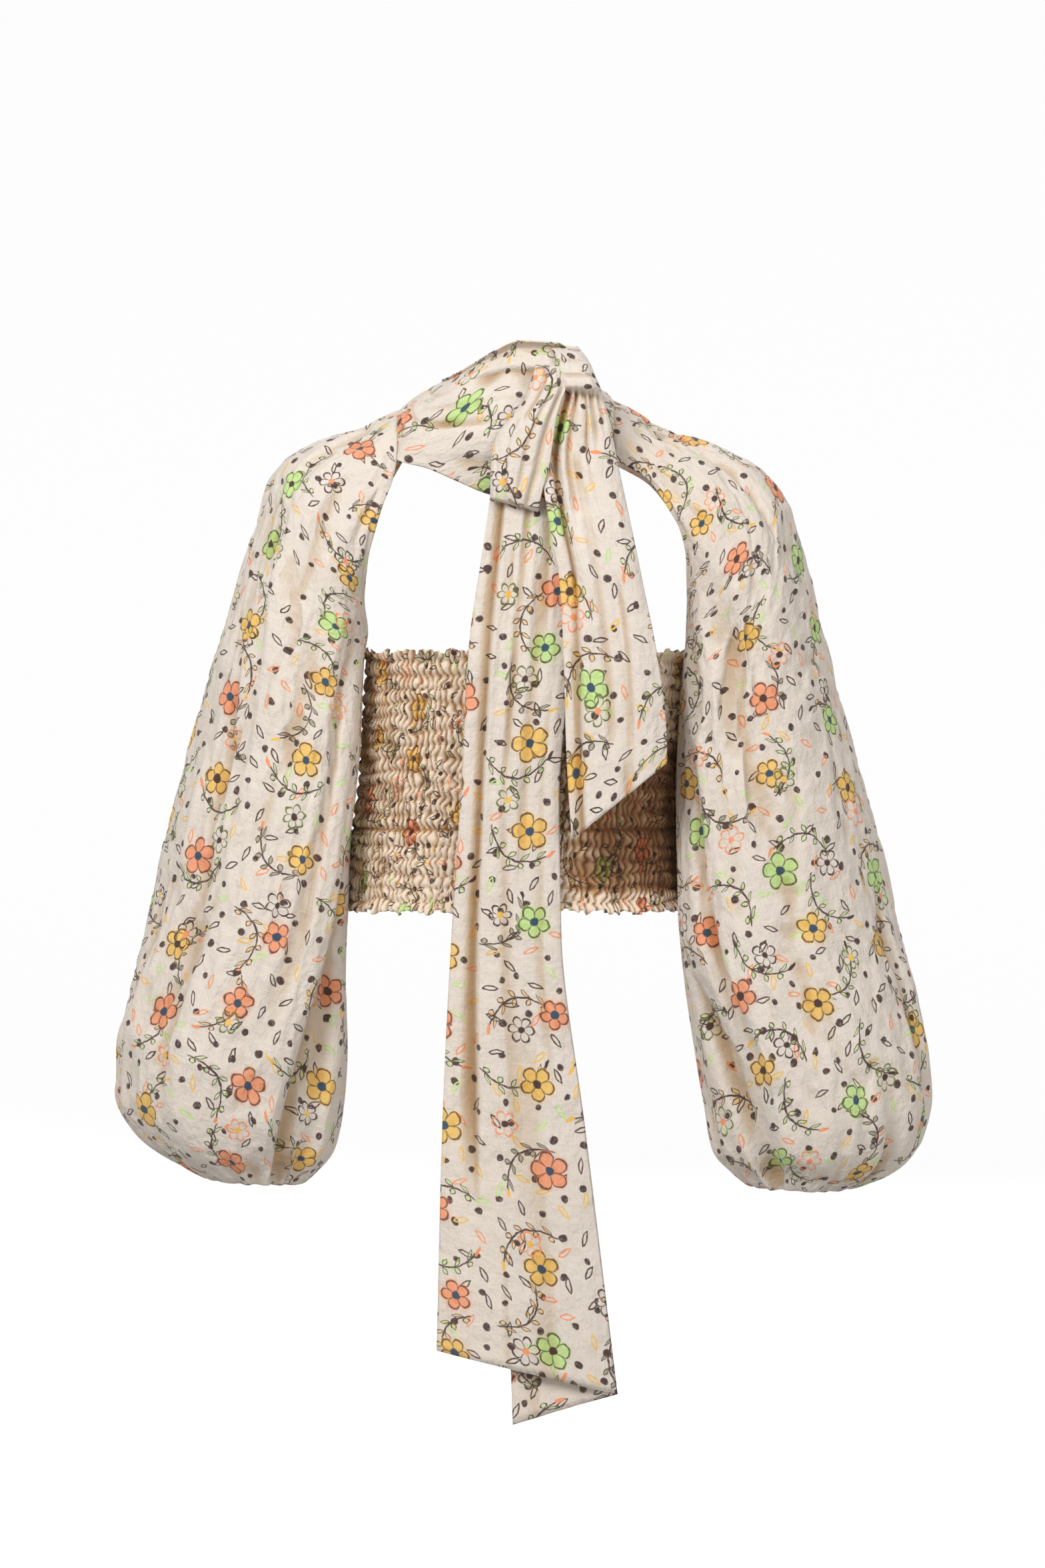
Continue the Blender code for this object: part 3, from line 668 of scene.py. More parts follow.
# %% The sleeves' sections
CLOSED = 179.8
BACK_EDGE_SHORT = 0.09
SLEEVE_COLUMNS = "along ridge_x ridge_z edge_x edge_z wrap half_depth mid_y lean"
LEFT_SLEEVE = table(
    SLEEVE_COLUMNS,
    (0, -96, -13, -96, -55, 90, 58, 8, 0),
    (33, -128, -23, -101.5, -73, 98, 66, 8, 2),
    (66, -159, -32, -109.5, -92, 106, 72, 7, 3),
    (97, -186, -46, -117, -112, 116, 75, 5, 5),
    (129, -204, -69, -123.5, -134, 128, 77, 3, 7),
    (170, -217.5, -109, -126, -162, 145, 78, 0, 9),
    (218, -232, -157, -121.5, -190, 165, 79, -4, 12),
    (265, -247, -204, -123, -216, CLOSED, 79, -8, 17),
    (312, -261, -252, -124, -256, CLOSED, 80, -10, 24),
    (377, -277, -312, -125.5, -314, CLOSED, 82, -12, 28),
    (482, -298.5, -409, -132, -409, CLOSED, 85, -14, 28),
    (538, -310.5, -463, -135.5, -463, CLOSED, 87, -15, 22),
    (586, -319.5, -510, -135, -508, CLOSED, 87, -15, 15),
    (622, -320, -546, -137, -548, CLOSED, 84, -14, 10),
    (655, -303, -577, -144, -586, CLOSED, 74, -13, 6),
    (690, -274, -598, -158, -605, CLOSED, 58, -12, 2),
    (712, -250, -609, -171, -615, CLOSED, 47, -12, 0),
    (732, -248, -603, -178, -603, CLOSED, 40, -12, 0),
    (756, -247, -580, -181, -580, CLOSED, 35, -12, 0),
)
RIGHT_SLEEVE = table(
    SLEEVE_COLUMNS,
    (0, 70, -4.5, 70, -56, 90, 58, 8, 0),
    (33, 102, -18, 98, -72, 98, 66, 8, 2),
    (66, 134, -27.5, 112.5, -92, 106, 72, 7, 3),
    (97, 165, -39, 125, -112, 116, 75, 5, 5),
    (129, 190, -53, 130.5, -134, 128, 77, 3, 7),
    (170, 213.5, -86, 131, -160, 145, 78, 0, 9),
    (218, 227, -134, 128.4, -188, 165, 79, -4, 12),
    (265, 240, -184, 124, -216, CLOSED, 79, -8, 17),
    (312, 254, -234, 121.5, -256, CLOSED, 80, -10, 24),
    (377, 274.5, -307, 119, -312, CLOSED, 82, -12, 30),
    (482, 299.5, -411, 118, -411, CLOSED, 85, -14, 34),
    (538, 311.5, -465, 125, -465, CLOSED, 87, -15, 24),
    (586, 318.5, -512, 133, -512, CLOSED, 87, -15, 15),
    (622, 320.5, -548, 139, -549, CLOSED, 85, -14, 10),
    (655, 312, -583, 146, -588, CLOSED, 77, -13, 6),
    (690, 287, -607, 161, -606, CLOSED, 60, -12, 2),
    (712, 258, -618, 176, -617, CLOSED, 48, -12, 0),
    (732, 252, -608, 182, -608, CLOSED, 40, -12, 0),
    (756, 251, -585, 186, -585, CLOSED, 35, -12, 0),
)
print("left sleeve widest at x", LEFT_SLEEVE["ridge_x"].min(), "mm")

# %% [markdown]
# ## The sleeves' creases
#
# The photograph shows smooth planes of cloth with long folds from the shoulder to the cuff, and a
# deep one where the inner side rolls over itself. The soft folds are part of the form. The laps,
# where one plane lies over the next, are creases with one steep side. An angle of 0 is the ridge,
# and angles below 0 are in front. The backs, which no photograph shows, get folds of the same kind.

# %% The main folds of each sleeve
LEFT_FOLDS = table(
    CREASE_COLUMNS,
    (90, 690, -28, -50, 3.5, 10, 0.7),
    (60, 330, -74, -104, 4.0, 9, 1.4),
    (340, 700, -70, -94, 4.0, 10, 0.7),
    (330, 700, -165, -112, 10.0, 12, 1.5),
    (470, 640, -160, -140, 5.0, 8, 1.0),
    (560, 720, -22, -30, 5.0, 9, 0.8),
    (120, 640, 40, 64, 6.0, 10, 1.3),
    (300, 700, 96, 110, 8.0, 10, 0.7),
    (420, 700, 146, 132, 8.0, 10, 1.4),
    (420, 700, -8, -4, 3.0, 7, 0.7),
    (250, 600, -128, -100, 2.0, 6, 0.7),
    (20, 200, -30, -58, 3.0, 7, 1.4),
    (30, 240, 30, 44, 3.5, 8, 0.7),
    (200, 560, 78, 84, 3.5, 7, 1.4),
)
RIGHT_FOLDS = table(
    CREASE_COLUMNS,
    (30, 300, -84, -124, 2.8, 9, 0.7),
    (170, 500, -96, -96, 2.8, 9, 1.4),
    (400, 620, -66, -72, 3.0, 10, 1.3),
    (520, 715, -148, -118, 9.0, 12, 0.7),
    (600, 715, -40, -44, 5.0, 9, 1.3),
    (120, 640, 44, 60, 6.0, 10, 0.7),
    (300, 700, 92, 112, 8.0, 10, 1.4),
    (430, 700, 144, 128, 8.0, 10, 0.7),
    (330, 640, -128, -112, 4.0, 7, 1.5),
    (440, 700, -14, -8, 4.0, 7, 1.3),
    (60, 260, -36, -60, 3.0, 7, 0.7),
    (40, 220, 26, 40, 3.5, 8, 1.3),
    (210, 560, 74, 82, 3.5, 7, 0.7),
)
LEFT_LAPS = table(
    CREASE_COLUMNS,
    (70, 700, -60, -46, 2.6, 8, 0.30),
    (150, 720, -72, -97, 2.8, 8, 3.0),
    (400, 720, -146, -114, 5.5, 8, 3.0),
    (420, 700, -162, -138, 2.6, 6, 0.40),
    (560, 730, -22, -16, 2.6, 6, 0.40),
    (120, 660, 52, 40, 2.6, 8, 3.0),
    (330, 720, 92, 108, 4.5, 8, 0.30),
    (430, 720, 148, 128, 4.5, 8, 3.0),
)
RIGHT_LAPS = table(
    CREASE_COLUMNS,
    (90, 330, -88, -78, 2.0, 7, 0.35),
    (210, 540, -93, -122, 2.8, 8, 0.30),
    (330, 650, -50, -88, 2.8, 8, 3.0),
    (500, 725, -152, -122, 5.0, 8, 0.35),
    (590, 730, -52, -40, 2.6, 6, 0.40),
    (100, 640, 44, 58, 2.6, 8, 0.30),
    (320, 720, 98, 86, 4.5, 8, 3.0),
    (430, 720, 130, 146, 4.5, 8, 0.30),
)
FOLD_EASE = 60.0
CUFF_GATHERS = 18
CUFF_GATHER_DEPTH = 6.0
CUFF_GATHER_START = 590.0
CUFF_GATHER_GROWTH = 110.0
CUFF_GATHER_END = 40.0
print(len(LEFT_FOLDS["start"]), "and", len(RIGHT_FOLDS["start"]), "main folds")


# %% The sleeves' points
def sleeve_points(sections, folds, along, turn, seed):
    """Points of a sleeve at a length along it and a turn from -1, its front edge, to 1, its back.

    The arc's centre lies on the line from the edge to the ridge, a full radius from the ridge. A
    point is the centre, plus the radius towards the ridge by the cosine of the angle, plus the half
    depth towards the back by its sine, less the lean by its sine. Creases and gathers shorten both.
    """
    ridge_x, ridge_z, edge_x, edge_z, wrap, half_depth, mid_y, lean = columns_at(sections, along)
    wrap = np.minimum(wrap, CLOSED)
    reach_x, reach_z = ridge_x - edge_x, ridge_z - edge_z
    reach = np.hypot(reach_x, reach_z)
    full = reach / (1 - np.cos(np.radians(wrap)))
    radius = np.sqrt(full**2 - lean**2)
    open_share = (CLOSED - wrap) / (CLOSED - 90)
    degrees = turn * wrap * np.where(turn > 0, 1 - BACK_EDGE_SHORT * open_share, 1)
    angle = np.radians(degrees)
    grown = ramp(0, CUFF_GATHER_GROWTH, along - CUFF_GATHER_START)
    flat = ramp(0, CUFF_GATHER_END, sections["along"][-1] - along)
    uneven = 0.035 * wobble(seed, turn, 0.7) * (1 - turn**2)
    waves = np.cos(np.pi * CUFF_GATHERS * (turn + uneven) / 2) ** 2
    depths = CUFF_GATHER_DEPTH * (1 + 0.7 * wobble(seed + 1, turn, 0.5))
    drawn_in = creases(folds, along, degrees, FOLD_EASE, turn=360.0) + depths * waves * grown * flat
    out = (radius - drawn_in) * np.cos(angle) - full
    back = (half_depth - drawn_in) * np.sin(angle)
    inward = -np.sign(ridge_x)
    x = ridge_x + out * reach_x / reach - lean * np.sin(angle) * inward
    return grid(x, mid_y + back, ridge_z + out * reach_z / reach)


def sleeve_uv(points):
    """The flat cloth under each point: across from the ridge, and down from the neck seam.

    Across is the length along the row, stretched to the widest row above it, since cloth that has
    been gathered keeps its width. Down is the mean of the point's own length and the ridge's.
    """
    across = length_along(points, 1)
    middle = points.shape[1] // 2
    across = across - across[:, middle : middle + 1]
    width = across[:, -1] - across[:, 0]
    across = across * (np.maximum.accumulate(width) / width)[:, None]
    down = length_along(points, 0)
    down = (down + down[:, middle : middle + 1]) / 2
    return grid(across, -down)


print("left seam's front end:", sleeve_points(LEFT_SLEEVE, LEFT_FOLDS, 0.0, -1.0, 3).round())

# %% [markdown]
# ## Cloth that finds its own folds
#
# A sleeve is cut fuller than the form it takes, so it can't lie smooth. The cloth simulation starts
# from the modelled form with springs as long as those of the fuller cut. A weak pin holds every
# point near its start, and a firm one holds the seams; the result is kept as plain points.

# %% The settling cloth
SETTLE_FRAMES = 24
SETTLE_STEPS = 5
POINT_MASS = 0.02
AIR_DRAG = 2.0
STRETCH_STIFFNESS = 6.0
SHEAR_STIFFNESS = 3.0
BENDING_STIFFNESS = 0.01
PIN_STIFFNESS = 0.5
PIN_LEVELS = 50
GRAVITY = 1.0
EARTH_GRAVITY = 9.81


def settle(points, cut, hold):
    """Cloth that starts at `points`, in mm, is cut to the lengths of `cut`, and finds its folds.

    `hold` is how firmly a spring holds each point at its start, from 0 to 1. The grid is simulated
    for a few frames, and its last form is returned.
    """
    scene = bpy.context.scene
    sheet = placed("settling", grid_mesh("settling", points * MM, points[..., :2], False))
    sheet.shape_key_add(name="worn")
    sheet.shape_key_add(name="cut").data.foreach_set("co", (cut * MM).astype(np.float32).ravel())
    held = sheet.vertex_groups.new(name="held")
    level = np.round(hold.ravel() * PIN_LEVELS).astype(int)
    for step in np.unique(level[level > 0]):
        held.add(np.flatnonzero(level == step).tolist(), step / PIN_LEVELS, "REPLACE")
    modifier = sheet.modifiers.new("cloth", "CLOTH")
    modifier.point_cache.frame_start, modifier.point_cache.frame_end = 1, SETTLE_FRAMES
    modifier.collision_settings.use_collision = False
    settings = modifier.settings
    settings.quality = SETTLE_STEPS
    settings.mass = POINT_MASS
    settings.air_damping = AIR_DRAG
    settings.tension_stiffness = settings.compression_stiffness = STRETCH_STIFFNESS
    settings.shear_stiffness = SHEAR_STIFFNESS
    settings.bending_stiffness = BENDING_STIFFNESS
    settings.pin_stiffness = PIN_STIFFNESS
    settings.vertex_group_mass = held.name
    settings.rest_shape_key = sheet.data.shape_keys.key_blocks["cut"]
    settings.effector_weights.gravity = GRAVITY / EARTH_GRAVITY
    for frame in range(1, SETTLE_FRAMES + 1):
        scene.frame_set(frame)
    settled = sheet.evaluated_get(bpy.context.evaluated_depsgraph_get()).to_mesh()
    moved = np.empty(points.size, np.float32)
    settled.vertices.foreach_get("co", moved)
    bpy.data.objects.remove(sheet)
    scene.frame_set(1)
    moved = moved.reshape(points.shape).astype(float) / MM
    print(f"settled, moved {np.abs(moved - points).mean():.1f} mm on average")
    return moved


# %% The sleeves
SLEEVE_ROWS = 98
SLEEVE_STEPS = 112
FULLNESS = 0.05
SLACK = 1.02
FULL_FROM = (10, 140)
LOOSE_HOLD = 0.06
NECK_HOLD = (0, 14)
CUFF_HOLD = (705, 720)
EDGE_HOLD = (0.94, 1.0)
SMALL_CREASES = 36
LAP_EASE = 40.0
# How deep a sleeve's fold must be, in mm, for full painted shade.
SLEEVE_SHADE_DEPTH = 6.5
PRINT_SHIFT = np.array([300.0, 40.0])


def sleeve(side, sections, folds, laps, seed):
    """A sleeve cut fuller than its form by FULLNESS round the arm and SLACK along it, then settled.

    The laps and the small creases are pressed into the settled cloth along its normals.
    """
    along = np.linspace(0, sections["along"][-1], SLEEVE_ROWS + 1)[:, None]
    turn = np.linspace(-1, 1, SLEEVE_STEPS + 1)[None, :]
    points = sleeve_points(sections, folds, along, turn, seed)
    uv = sleeve_uv(points) + seed * PRINT_SHIFT
    centre = points.mean(axis=1, keepdims=True)
    cut = centre + (points - centre) * (1 + FULLNESS * ramp(*FULL_FROM, along)[..., None])
    cut[..., 2] *= SLACK
    hold = np.maximum(np.maximum(LOOSE_HOLD, 1 - ramp(*NECK_HOLD, along)), ramp(*CUFF_HOLD, along))
    hold = np.maximum(hold, ramp(*EDGE_HOLD, np.abs(turn)))
    points = refine(settle(points, cut, hold))
    flip = sections["ridge_x"][0] > 0
    small = small_creases(
        seed, SMALL_CREASES, along=(0, 620), across=(-180, 180), depth=(0.3, 1.0),
        width=(2.5, 7), length=(50, 200), drift=16,
    )
    fine_along = refine(np.broadcast_to(along, hold.shape)[..., None])[..., 0]
    fine_turn = refine(np.broadcast_to(turn, hold.shape)[..., None])[..., 0]
    depth = creases(together(laps, small), fine_along, 180 * fine_turn, LAP_EASE, turn=360.0)
    points = points - depth[..., None] * normals(points, flip)
    # Painted fold shade, from how far each point lies under the blurred sleeve.
    painted_shade = painted_fold_shade(points, flip, SLEEVE_SHADE_DEPTH)
    piece = cloth(f"{side}_sleeve_cloth", f"sleeve_{side}", points, refine(uv), flip, painted_shade)


sleeve("left", LEFT_SLEEVE, LEFT_FOLDS, LEFT_LAPS, 3)
sleeve("right", RIGHT_SLEEVE, RIGHT_FOLDS, RIGHT_LAPS, 4)

# %% [markdown]
# ## The cuffs
#
# Inside the bloused end of each sleeve sits a narrow tube with elastic in it. Elastic pulls the
# cloth into small even puckers: the radius gets a fine wave, strongest half way up and still at the
# two stitched rims.

# %% The cuffs
CUFF_HEIGHT = 22.0
CUFF_EASE = 1.0
CUFF_TOP_GAP = 0.4
CUFF_PUCKERS = 44
PUCKER_DEPTH = 0.45
CUFF_FULLNESS = 1.8


def cuff(side, sections, seed):
    """A tube inside the sleeve's last section, drawn in at each pucker by 1 less a cosine."""
    last = {key: column[-1] for key, column in sections.items()}
    centre_x = (last["ridge_x"] + last["edge_x"]) / 2
    radius_x = abs(last["ridge_x"] - last["edge_x"]) / 2 - CUFF_EASE
    radius_y = last["half_depth"] - CUFF_EASE
    down = np.linspace(0, 1, 13)[:, None]
    turn = np.linspace(0, 1, 6 * CUFF_PUCKERS + 1)[None, :]
    angle = 2 * math.pi * turn
    wave = np.cos(angle * CUFF_PUCKERS + 0.8 * np.sin(3 * angle + seed)) - 1
    pucker = PUCKER_DEPTH * wave * (0.45 + 0.55 * np.sin(math.pi * down))
    points = grid(
        centre_x + (radius_x + pucker) * np.sin(angle),
        last["mid_y"] - (radius_y + pucker) * np.cos(angle),
        last["ridge_z"] - CUFF_TOP_GAP - CUFF_HEIGHT * down,
    )
    flat_round = CUFF_FULLNESS * math.pi * (radius_x + radius_y)
    uv = grid(flat_round * turn, -CUFF_HEIGHT * down)
    # Painted shade in the puckers' valleys, as deep as each pucker.
    piece = cloth(f"{side}_cuff_cloth", f"cuff_{side}", points, uv, False, -pucker)


cuff("left", LEFT_SLEEVE, 1)
cuff("right", RIGHT_SLEEVE, 2)

# %% [markdown]
# ## The smocked body
#
# Smocking is cloth sewn with rows of elastic thread. Between the rows the pleats puff out, and at
# each row they are pinched. A pleat's section is the absolute value of a cosine: round on top and
# sharp in the valley. The thread pulls the pleats left and right as it likes, so their phase is
# shifted by a smooth random field. Past the last row the cloth is loose and its edge ruffles.

# %% The body's oval
TOP_EDGE_Z = -203.0
WAIST_SEAM_Z = -311.0
STITCHED_SEAM_Z = -340.0
HEM_Z = -402.0
SEAM_LAP = 0.8
HALF_ROUND = 330.0
TORSO = table(
    "z mid_x half_width half_depth",
    (-404, -5.5, 129, 87),
    (-392, -5.5, 128, 83),
    (-360, -5, 127.5, 81),
    (-311, -2.5, 123.5, 80),
    (-256, 0.5, 122.5, 82),
    (-212, 1.7, 121.3, 81),
    (-200, 1.7, 121.7, 83),
)
print("half width at the hem:", columns_at(TORSO, HEM_Z)[1].round(1), "mm")

# %% The pleats' places and sizes
PLEAT_WIDTH = 4.9
ROW_HEIGHT = 10.6
PLEAT_RISE = 3.1
ROW_RISE = 0.9
FRILL_DEPTH = 9.0
PINCH_HEIGHT = 1.3
GATHERED = 2.0
PUFFED = 1.25


def thread_breaks(seed, row):
    """A random number from -1 to 1 for each space between two rows, which changes at the thread."""
    level = np.random.default_rng(seed).uniform(-1, 1, 40)
    thread = np.round(row).astype(int)
    below, above = level[thread + 4], level[thread + 5]
    return below + (above - below) * ramp(-0.12, 0.12, row - thread)


def painted_shadow_share(facing, x, z):
    """The painted shadow of the short tail and the sleeve on the front, and a patch of painted
    light on the strip right of the short tail, both from 0 to 1.
    """
    if facing > 0:
        return 0.0, 0.0
    shaded = ramp(20, 55, x) * (1 - 0.85 * ramp(44, 52, STITCHED_SEAM_Z - z))
    return shaded, ramp(100, 108, x) * ramp(-285, -262, z)


print("first levels:", thread_breaks(11, np.arange(3) + 0.5).round(2))


# %% The smocked panels
def smocked_panel(name, node, facing, top_z, bottom_z, frill_at_top, steps, rows, seed):
    """Half of the body between two heights. facing is -1 for the front and 1 for the back.

    A point lies on the body's oval, moved out by the cloth's rise: the |cosine| of the pleat's
    phase, three tenths as high at a row of elastic as between two, and a little more between the
    rows. At the stitched seam the rise is pinched to a tenth, and below it the pleats start afresh.
    Shade is painted into its colour: darker in the valleys, at the rows, at the pinch and at the
    body's sides, with a painted shadow where the short tail and the sleeve cover it, and painted
    lighter on big puffs, towards the hem and on the strip right of the short tail.
    """
    across = np.linspace(0, 1, steps + 1)[None, :]
    z = bottom_z + (top_z - bottom_z) * np.linspace(0, 1, rows + 1)[:, None]
    around = across * HALF_ROUND
    below = STITCHED_SEAM_Z - z
    under = (below > 0) * 1.0
    pinch = np.exp(-((below / PINCH_HEIGHT) ** 2))
    row = (z - HEM_Z) / ROW_HEIGHT + 0.35 * under + 0.16 * ripple(seed, around, z, 45)
    frill = 1 - ramp(0, FRILL_DEPTH, np.abs(z - (top_z if frill_at_top else bottom_z)))
    drift = 0.7 * ripple(seed + 1, around * 0.8, z, 19) + 0.8 * thread_breaks(seed + 6, row)
    phase = around / PLEAT_WIDTH + 0.5 * under + 0.5 * drift * (1 - 0.7 * frill)
    crest = np.abs(np.cos(math.pi * phase)) ** 0.65
    between = np.abs(np.sin(math.pi * row)) ** 0.6
    size = 1 + 0.3 * ripple(seed + 2, around, z, 26)
    still = ramp(0, 0.01, across) * ramp(0, 0.01, 1 - across) * (1 - 0.9 * pinch)
    rise = (PLEAT_RISE * crest * (0.3 + 0.7 * between) * size + ROW_RISE * between) * still
    rise = rise + 1.1 * under * (1 - ramp(0, 12, below))
    ruffle = frill * (1.0 + 2.2 * wobble(seed + 3, across, 0.09) + 1.3 * crest)
    edge_wave = 2.4 * wobble(seed + 4, across, 0.06) + 1.2 * wobble(seed + 5, across, 0.5)
    angle = math.pi * (across - 0.5)
    mid_x, width, depth = columns_at(TORSO, z)
    x = mid_x + (width + rise + ruffle) * np.sin(angle)
    y = facing * (depth + rise + ruffle) * np.cos(angle)
    # Painted shadow from the short tail and the sleeve, and a patch of painted light beside them.
    painted_shadow, painted_light_patch = painted_shadow_share(facing, x, z)
    # Painted shade: valleys, rows, the pinch and the sides darker, big puffs lighter; painted light
    # below the stitched seam and on the open strip.
    valley = 0.85 * (1 - crest) ** 1.4 + 0.22 * (1 - between) + 0.4 * pinch - 0.25 * (size - 1)
    side = 0.2 * np.abs(np.sin(angle)) ** 4
    light = (0.09 * under + 0.08 * ramp(35, 55, below)) * (1 - painted_shadow) + 0.42 * painted_light_patch + 0.11
    dark = valley + side + 0.44 * painted_shadow * (1 - painted_light_patch) - light
    uv = grid(around * GATHERED + 530 * seed, z * PUFFED)
    points = grid(x, y, z + frill * edge_wave)
    piece = cloth(name, node, points, uv, facing > 0, dark, "smocked_cotton")


for facing, side, steps, fine in ((-1, "front", 340, 1.5), (1, "back", 272, 2.0)):
    for part, top_z, bottom_z, frill_at_top in (
        ("bodice", TOP_EDGE_Z, WAIST_SEAM_Z - SEAM_LAP, True),
        ("waistband", WAIST_SEAM_Z, HEM_Z, False),
    ):
        name, rows = f"{side}_{part}_cloth", round((top_z - bottom_z) / fine)
        smocked_panel(
            name, f"{part}_{side}", facing, top_z, bottom_z, frill_at_top, steps, rows, 5
        )

# %% [markdown]
# ## The neck band
#
# The band is one long strip that goes round the neck and ends in the tie. Its lower edge is sewn to
# the neck seams of the sleeves and runs free over the keyholes; its top edge rolls outwards. A
# station of its table gives the two edges, how far the cloth bulges between them, and the radius of
# the roll.

# %% The band's form
NECK_SEAM_LAP = 0.6


def seam_point(sections, angle):
    """A point of a sleeve's neck seam: half a circle stretched along Y, a lap past the edge."""
    first = {key: column[0] for key, column in sections.items()}
    height = first["ridge_z"] - first["edge_z"]
    x = first["ridge_x"] + math.copysign(NECK_SEAM_LAP, first["ridge_x"])
    y = first["mid_y"] + first["half_depth"] * math.sin(math.radians(angle))
    return x, y, first["edge_z"] + height * math.cos(math.radians(angle))


BAND_COLUMNS = "station top_x top_y top_z low_x low_y low_z bulge roll"
BAND_FRONT = table(
    BAND_COLUMNS,
    (0, -62, 7, 9, *seam_point(LEFT_SLEEVE, 0), 3, 1.0),
    (1, -61, -14, 8, *seam_point(LEFT_SLEEVE, -30), 4, 1.0),
    (2, -58, -33, 6.5, *seam_point(LEFT_SLEEVE, -60), 6, 1.2),
    (3, -49, -47, 9, *seam_point(LEFT_SLEEVE, -90), 8, 1.4),
    (4, -36, -55, 15.5, -72, -60, -64, 10, 1.6),
    (5, -19, -62, 23, -48, -67, -75, 14, 3.0),
    (6, -2, -67, 28, -25, -72, -84.5, 18, 4.0),
    (7, 24, -66, 26.5, -2, -76, -88, 18, 4.0),
    (8, 36, -57, 20, 6, -72, -84, 16, 3.0),
)
BAND_BACK = table(
    BAND_COLUMNS,
    (0, -62, 8, 9, *seam_point(LEFT_SLEEVE, 1), 3, 1.0),
    (1, -59, 31, 10, *seam_point(LEFT_SLEEVE, 30), 4, 1.0),
    (2, -50, 50, 12, *seam_point(LEFT_SLEEVE, 60), 5, 1.0),
    (3, -34, 63, 13, *seam_point(LEFT_SLEEVE, 80), 6, 1.0),
    (4, -12, 68, 14, -12, 82, -40, 5, 1.0),
    (5, 14, 63, 15, *seam_point(RIGHT_SLEEVE, 80), 6, 1.0),
    (6, 30, 50, 18, *seam_point(RIGHT_SLEEVE, 60), 5, 1.0),
    (7, 39, 31, 22, *seam_point(RIGHT_SLEEVE, 30), 4, 1.0),
    (8, 46, 8, 21, *seam_point(RIGHT_SLEEVE, 0), 1, 1.0),
    (9, 48, -14, 18, *seam_point(RIGHT_SLEEVE, -30), 0, 1.0),
    (10, 49, -34, 15, *seam_point(RIGHT_SLEEVE, -60), 1, 1.5),
    (11, 44, -50, 19, *seam_point(RIGHT_SLEEVE, -88), 5, 1.5),
    (12, 32, -58, 24, 46, -66, -34, 3, 1.5),
)
print("band stations:", len(BAND_FRONT["roll"]), "in front and", len(BAND_BACK["roll"]), "behind")

# %% The band's points
NECK_CENTRE = np.array([-12.0, 8.0, -60.0])
BAND_RISE = 0.3
ROLL_STEPS = 6
ROLL_TURN = 0.75 * math.pi
BAND_EASE = 1.2


def band_points(sections, station, down, folds):
    """Points of the band: down runs from -1, the tip of the rolled top edge, over 0, its top, to 1.

    Between its edges a station is a parabola that stands out by the bulge, less the creases. Above
    its top edge it curls over towards the outside, by 135 degrees of a circle of the roll's radius.
    """
    numbers = columns_at(sections, station)
    top, low = np.stack(numbers[:3], axis=-1), np.stack(numbers[3:6], axis=-1)
    bulge, roll = numbers[6][..., None], numbers[7][..., None]
    outward = (top + low) / 2 - NECK_CENTRE
    outward[..., 2] *= BAND_RISE
    outward /= np.linalg.norm(outward, axis=-1, keepdims=True)
    upward = (top - low) / np.linalg.norm(top - low, axis=-1, keepdims=True)
    below = np.clip(down, 0, 1)[..., None]
    above = np.clip(-down, 0, 1)[..., None] * ROLL_TURN
    still_edges = ramp(0, 0.08, 1 - np.clip(down, 0, 1))[..., None]
    crease = creases(folds, station, down, BAND_EASE)[..., None] * still_edges
    body = top + below * (low - top) + (4 * bulge * below * (1 - below) - crease) * outward
    rolled = roll * ((1 - np.cos(above)) * outward + np.sin(above) * upward)
    return body + rolled


def strip_uv(points, offset):
    """Flat cloth: along the strip by its middle's length, and across by each point's own."""
    middle = points.shape[1] // 2
    along = length_along(points, 0)[:, middle : middle + 1]
    return grid(length_along(points, 1) + offset, along)


def band(name, node, sections, folds, steps, rows, flip, offset):
    """A stretch of the band, with painted shade in its folds. Its rolled edge, whose other side
    shows, gets none.
    """
    station = np.linspace(0, sections["station"][-1], steps + 1)[:, None]
    roll = np.linspace(-1, 0, ROLL_STEPS + 1)[:-1]
    down = np.concatenate([roll, np.linspace(0, 1, rows + 1)])
    station, down = np.broadcast_arrays(station, down[None, :])
    points = band_points(sections, station, down, folds)
    # Painted fold shade, left off the rolled edge.
    face = ramp(5, 9, np.arange(points.shape[1]))[None, :]
    painted_shade = painted_fold_shade(points, flip, FOLD_SHADE_DEPTH) * face
    return cloth(name, node, points, strip_uv(points, offset), flip, painted_shade)


# %% The band's creases
BAND_FRONT_FOLDS = table(
    CREASE_COLUMNS,
    (4.0, 8.6, 0.18, 0.15, 5.6, 0.05, 0.3),
    (2.2, 8.6, 0.46, 0.34, 2.4, 0.06, 0.5),
    (3.0, 8.6, 0.64, 0.44, 3.4, 0.05, 1.8),
    (4.2, 8.6, 0.88, 0.66, 3.0, 0.05, 0.6),
    (5.4, 8.6, 0.30, 0.24, 1.8, 0.03, 1.4),
    (0.4, 4.2, 0.30, 0.24, 2.2, 0.06, 1.4),
    (0.6, 5.0, 0.62, 0.56, 2.2, 0.05, 0.6),
    (0.2, 2.6, 0.82, 0.74, 2.0, 0.05, 1.4),
)
BAND_BACK_FOLDS = table(
    CREASE_COLUMNS,
    (0.5, 6.0, 0.30, 0.42, 2.0, 0.07, 1.4),
    (3.0, 9.0, 0.68, 0.55, 2.0, 0.07, 0.7),
    (7.5, 12.6, 0.72, 0.60, 3.0, 0.06, 1.4),
    (8.5, 12.6, 0.50, 0.42, 3.2, 0.05, 0.7),
    (9.5, 12.6, 0.30, 0.28, 3.2, 0.05, 1.4),
    (10.2, 12.6, 0.14, 0.12, 3.0, 0.04, 0.7),
)
piece = band(
    "front_band_cloth", "neck_band_front", BAND_FRONT, BAND_FRONT_FOLDS, 110, 76, False, 40
)
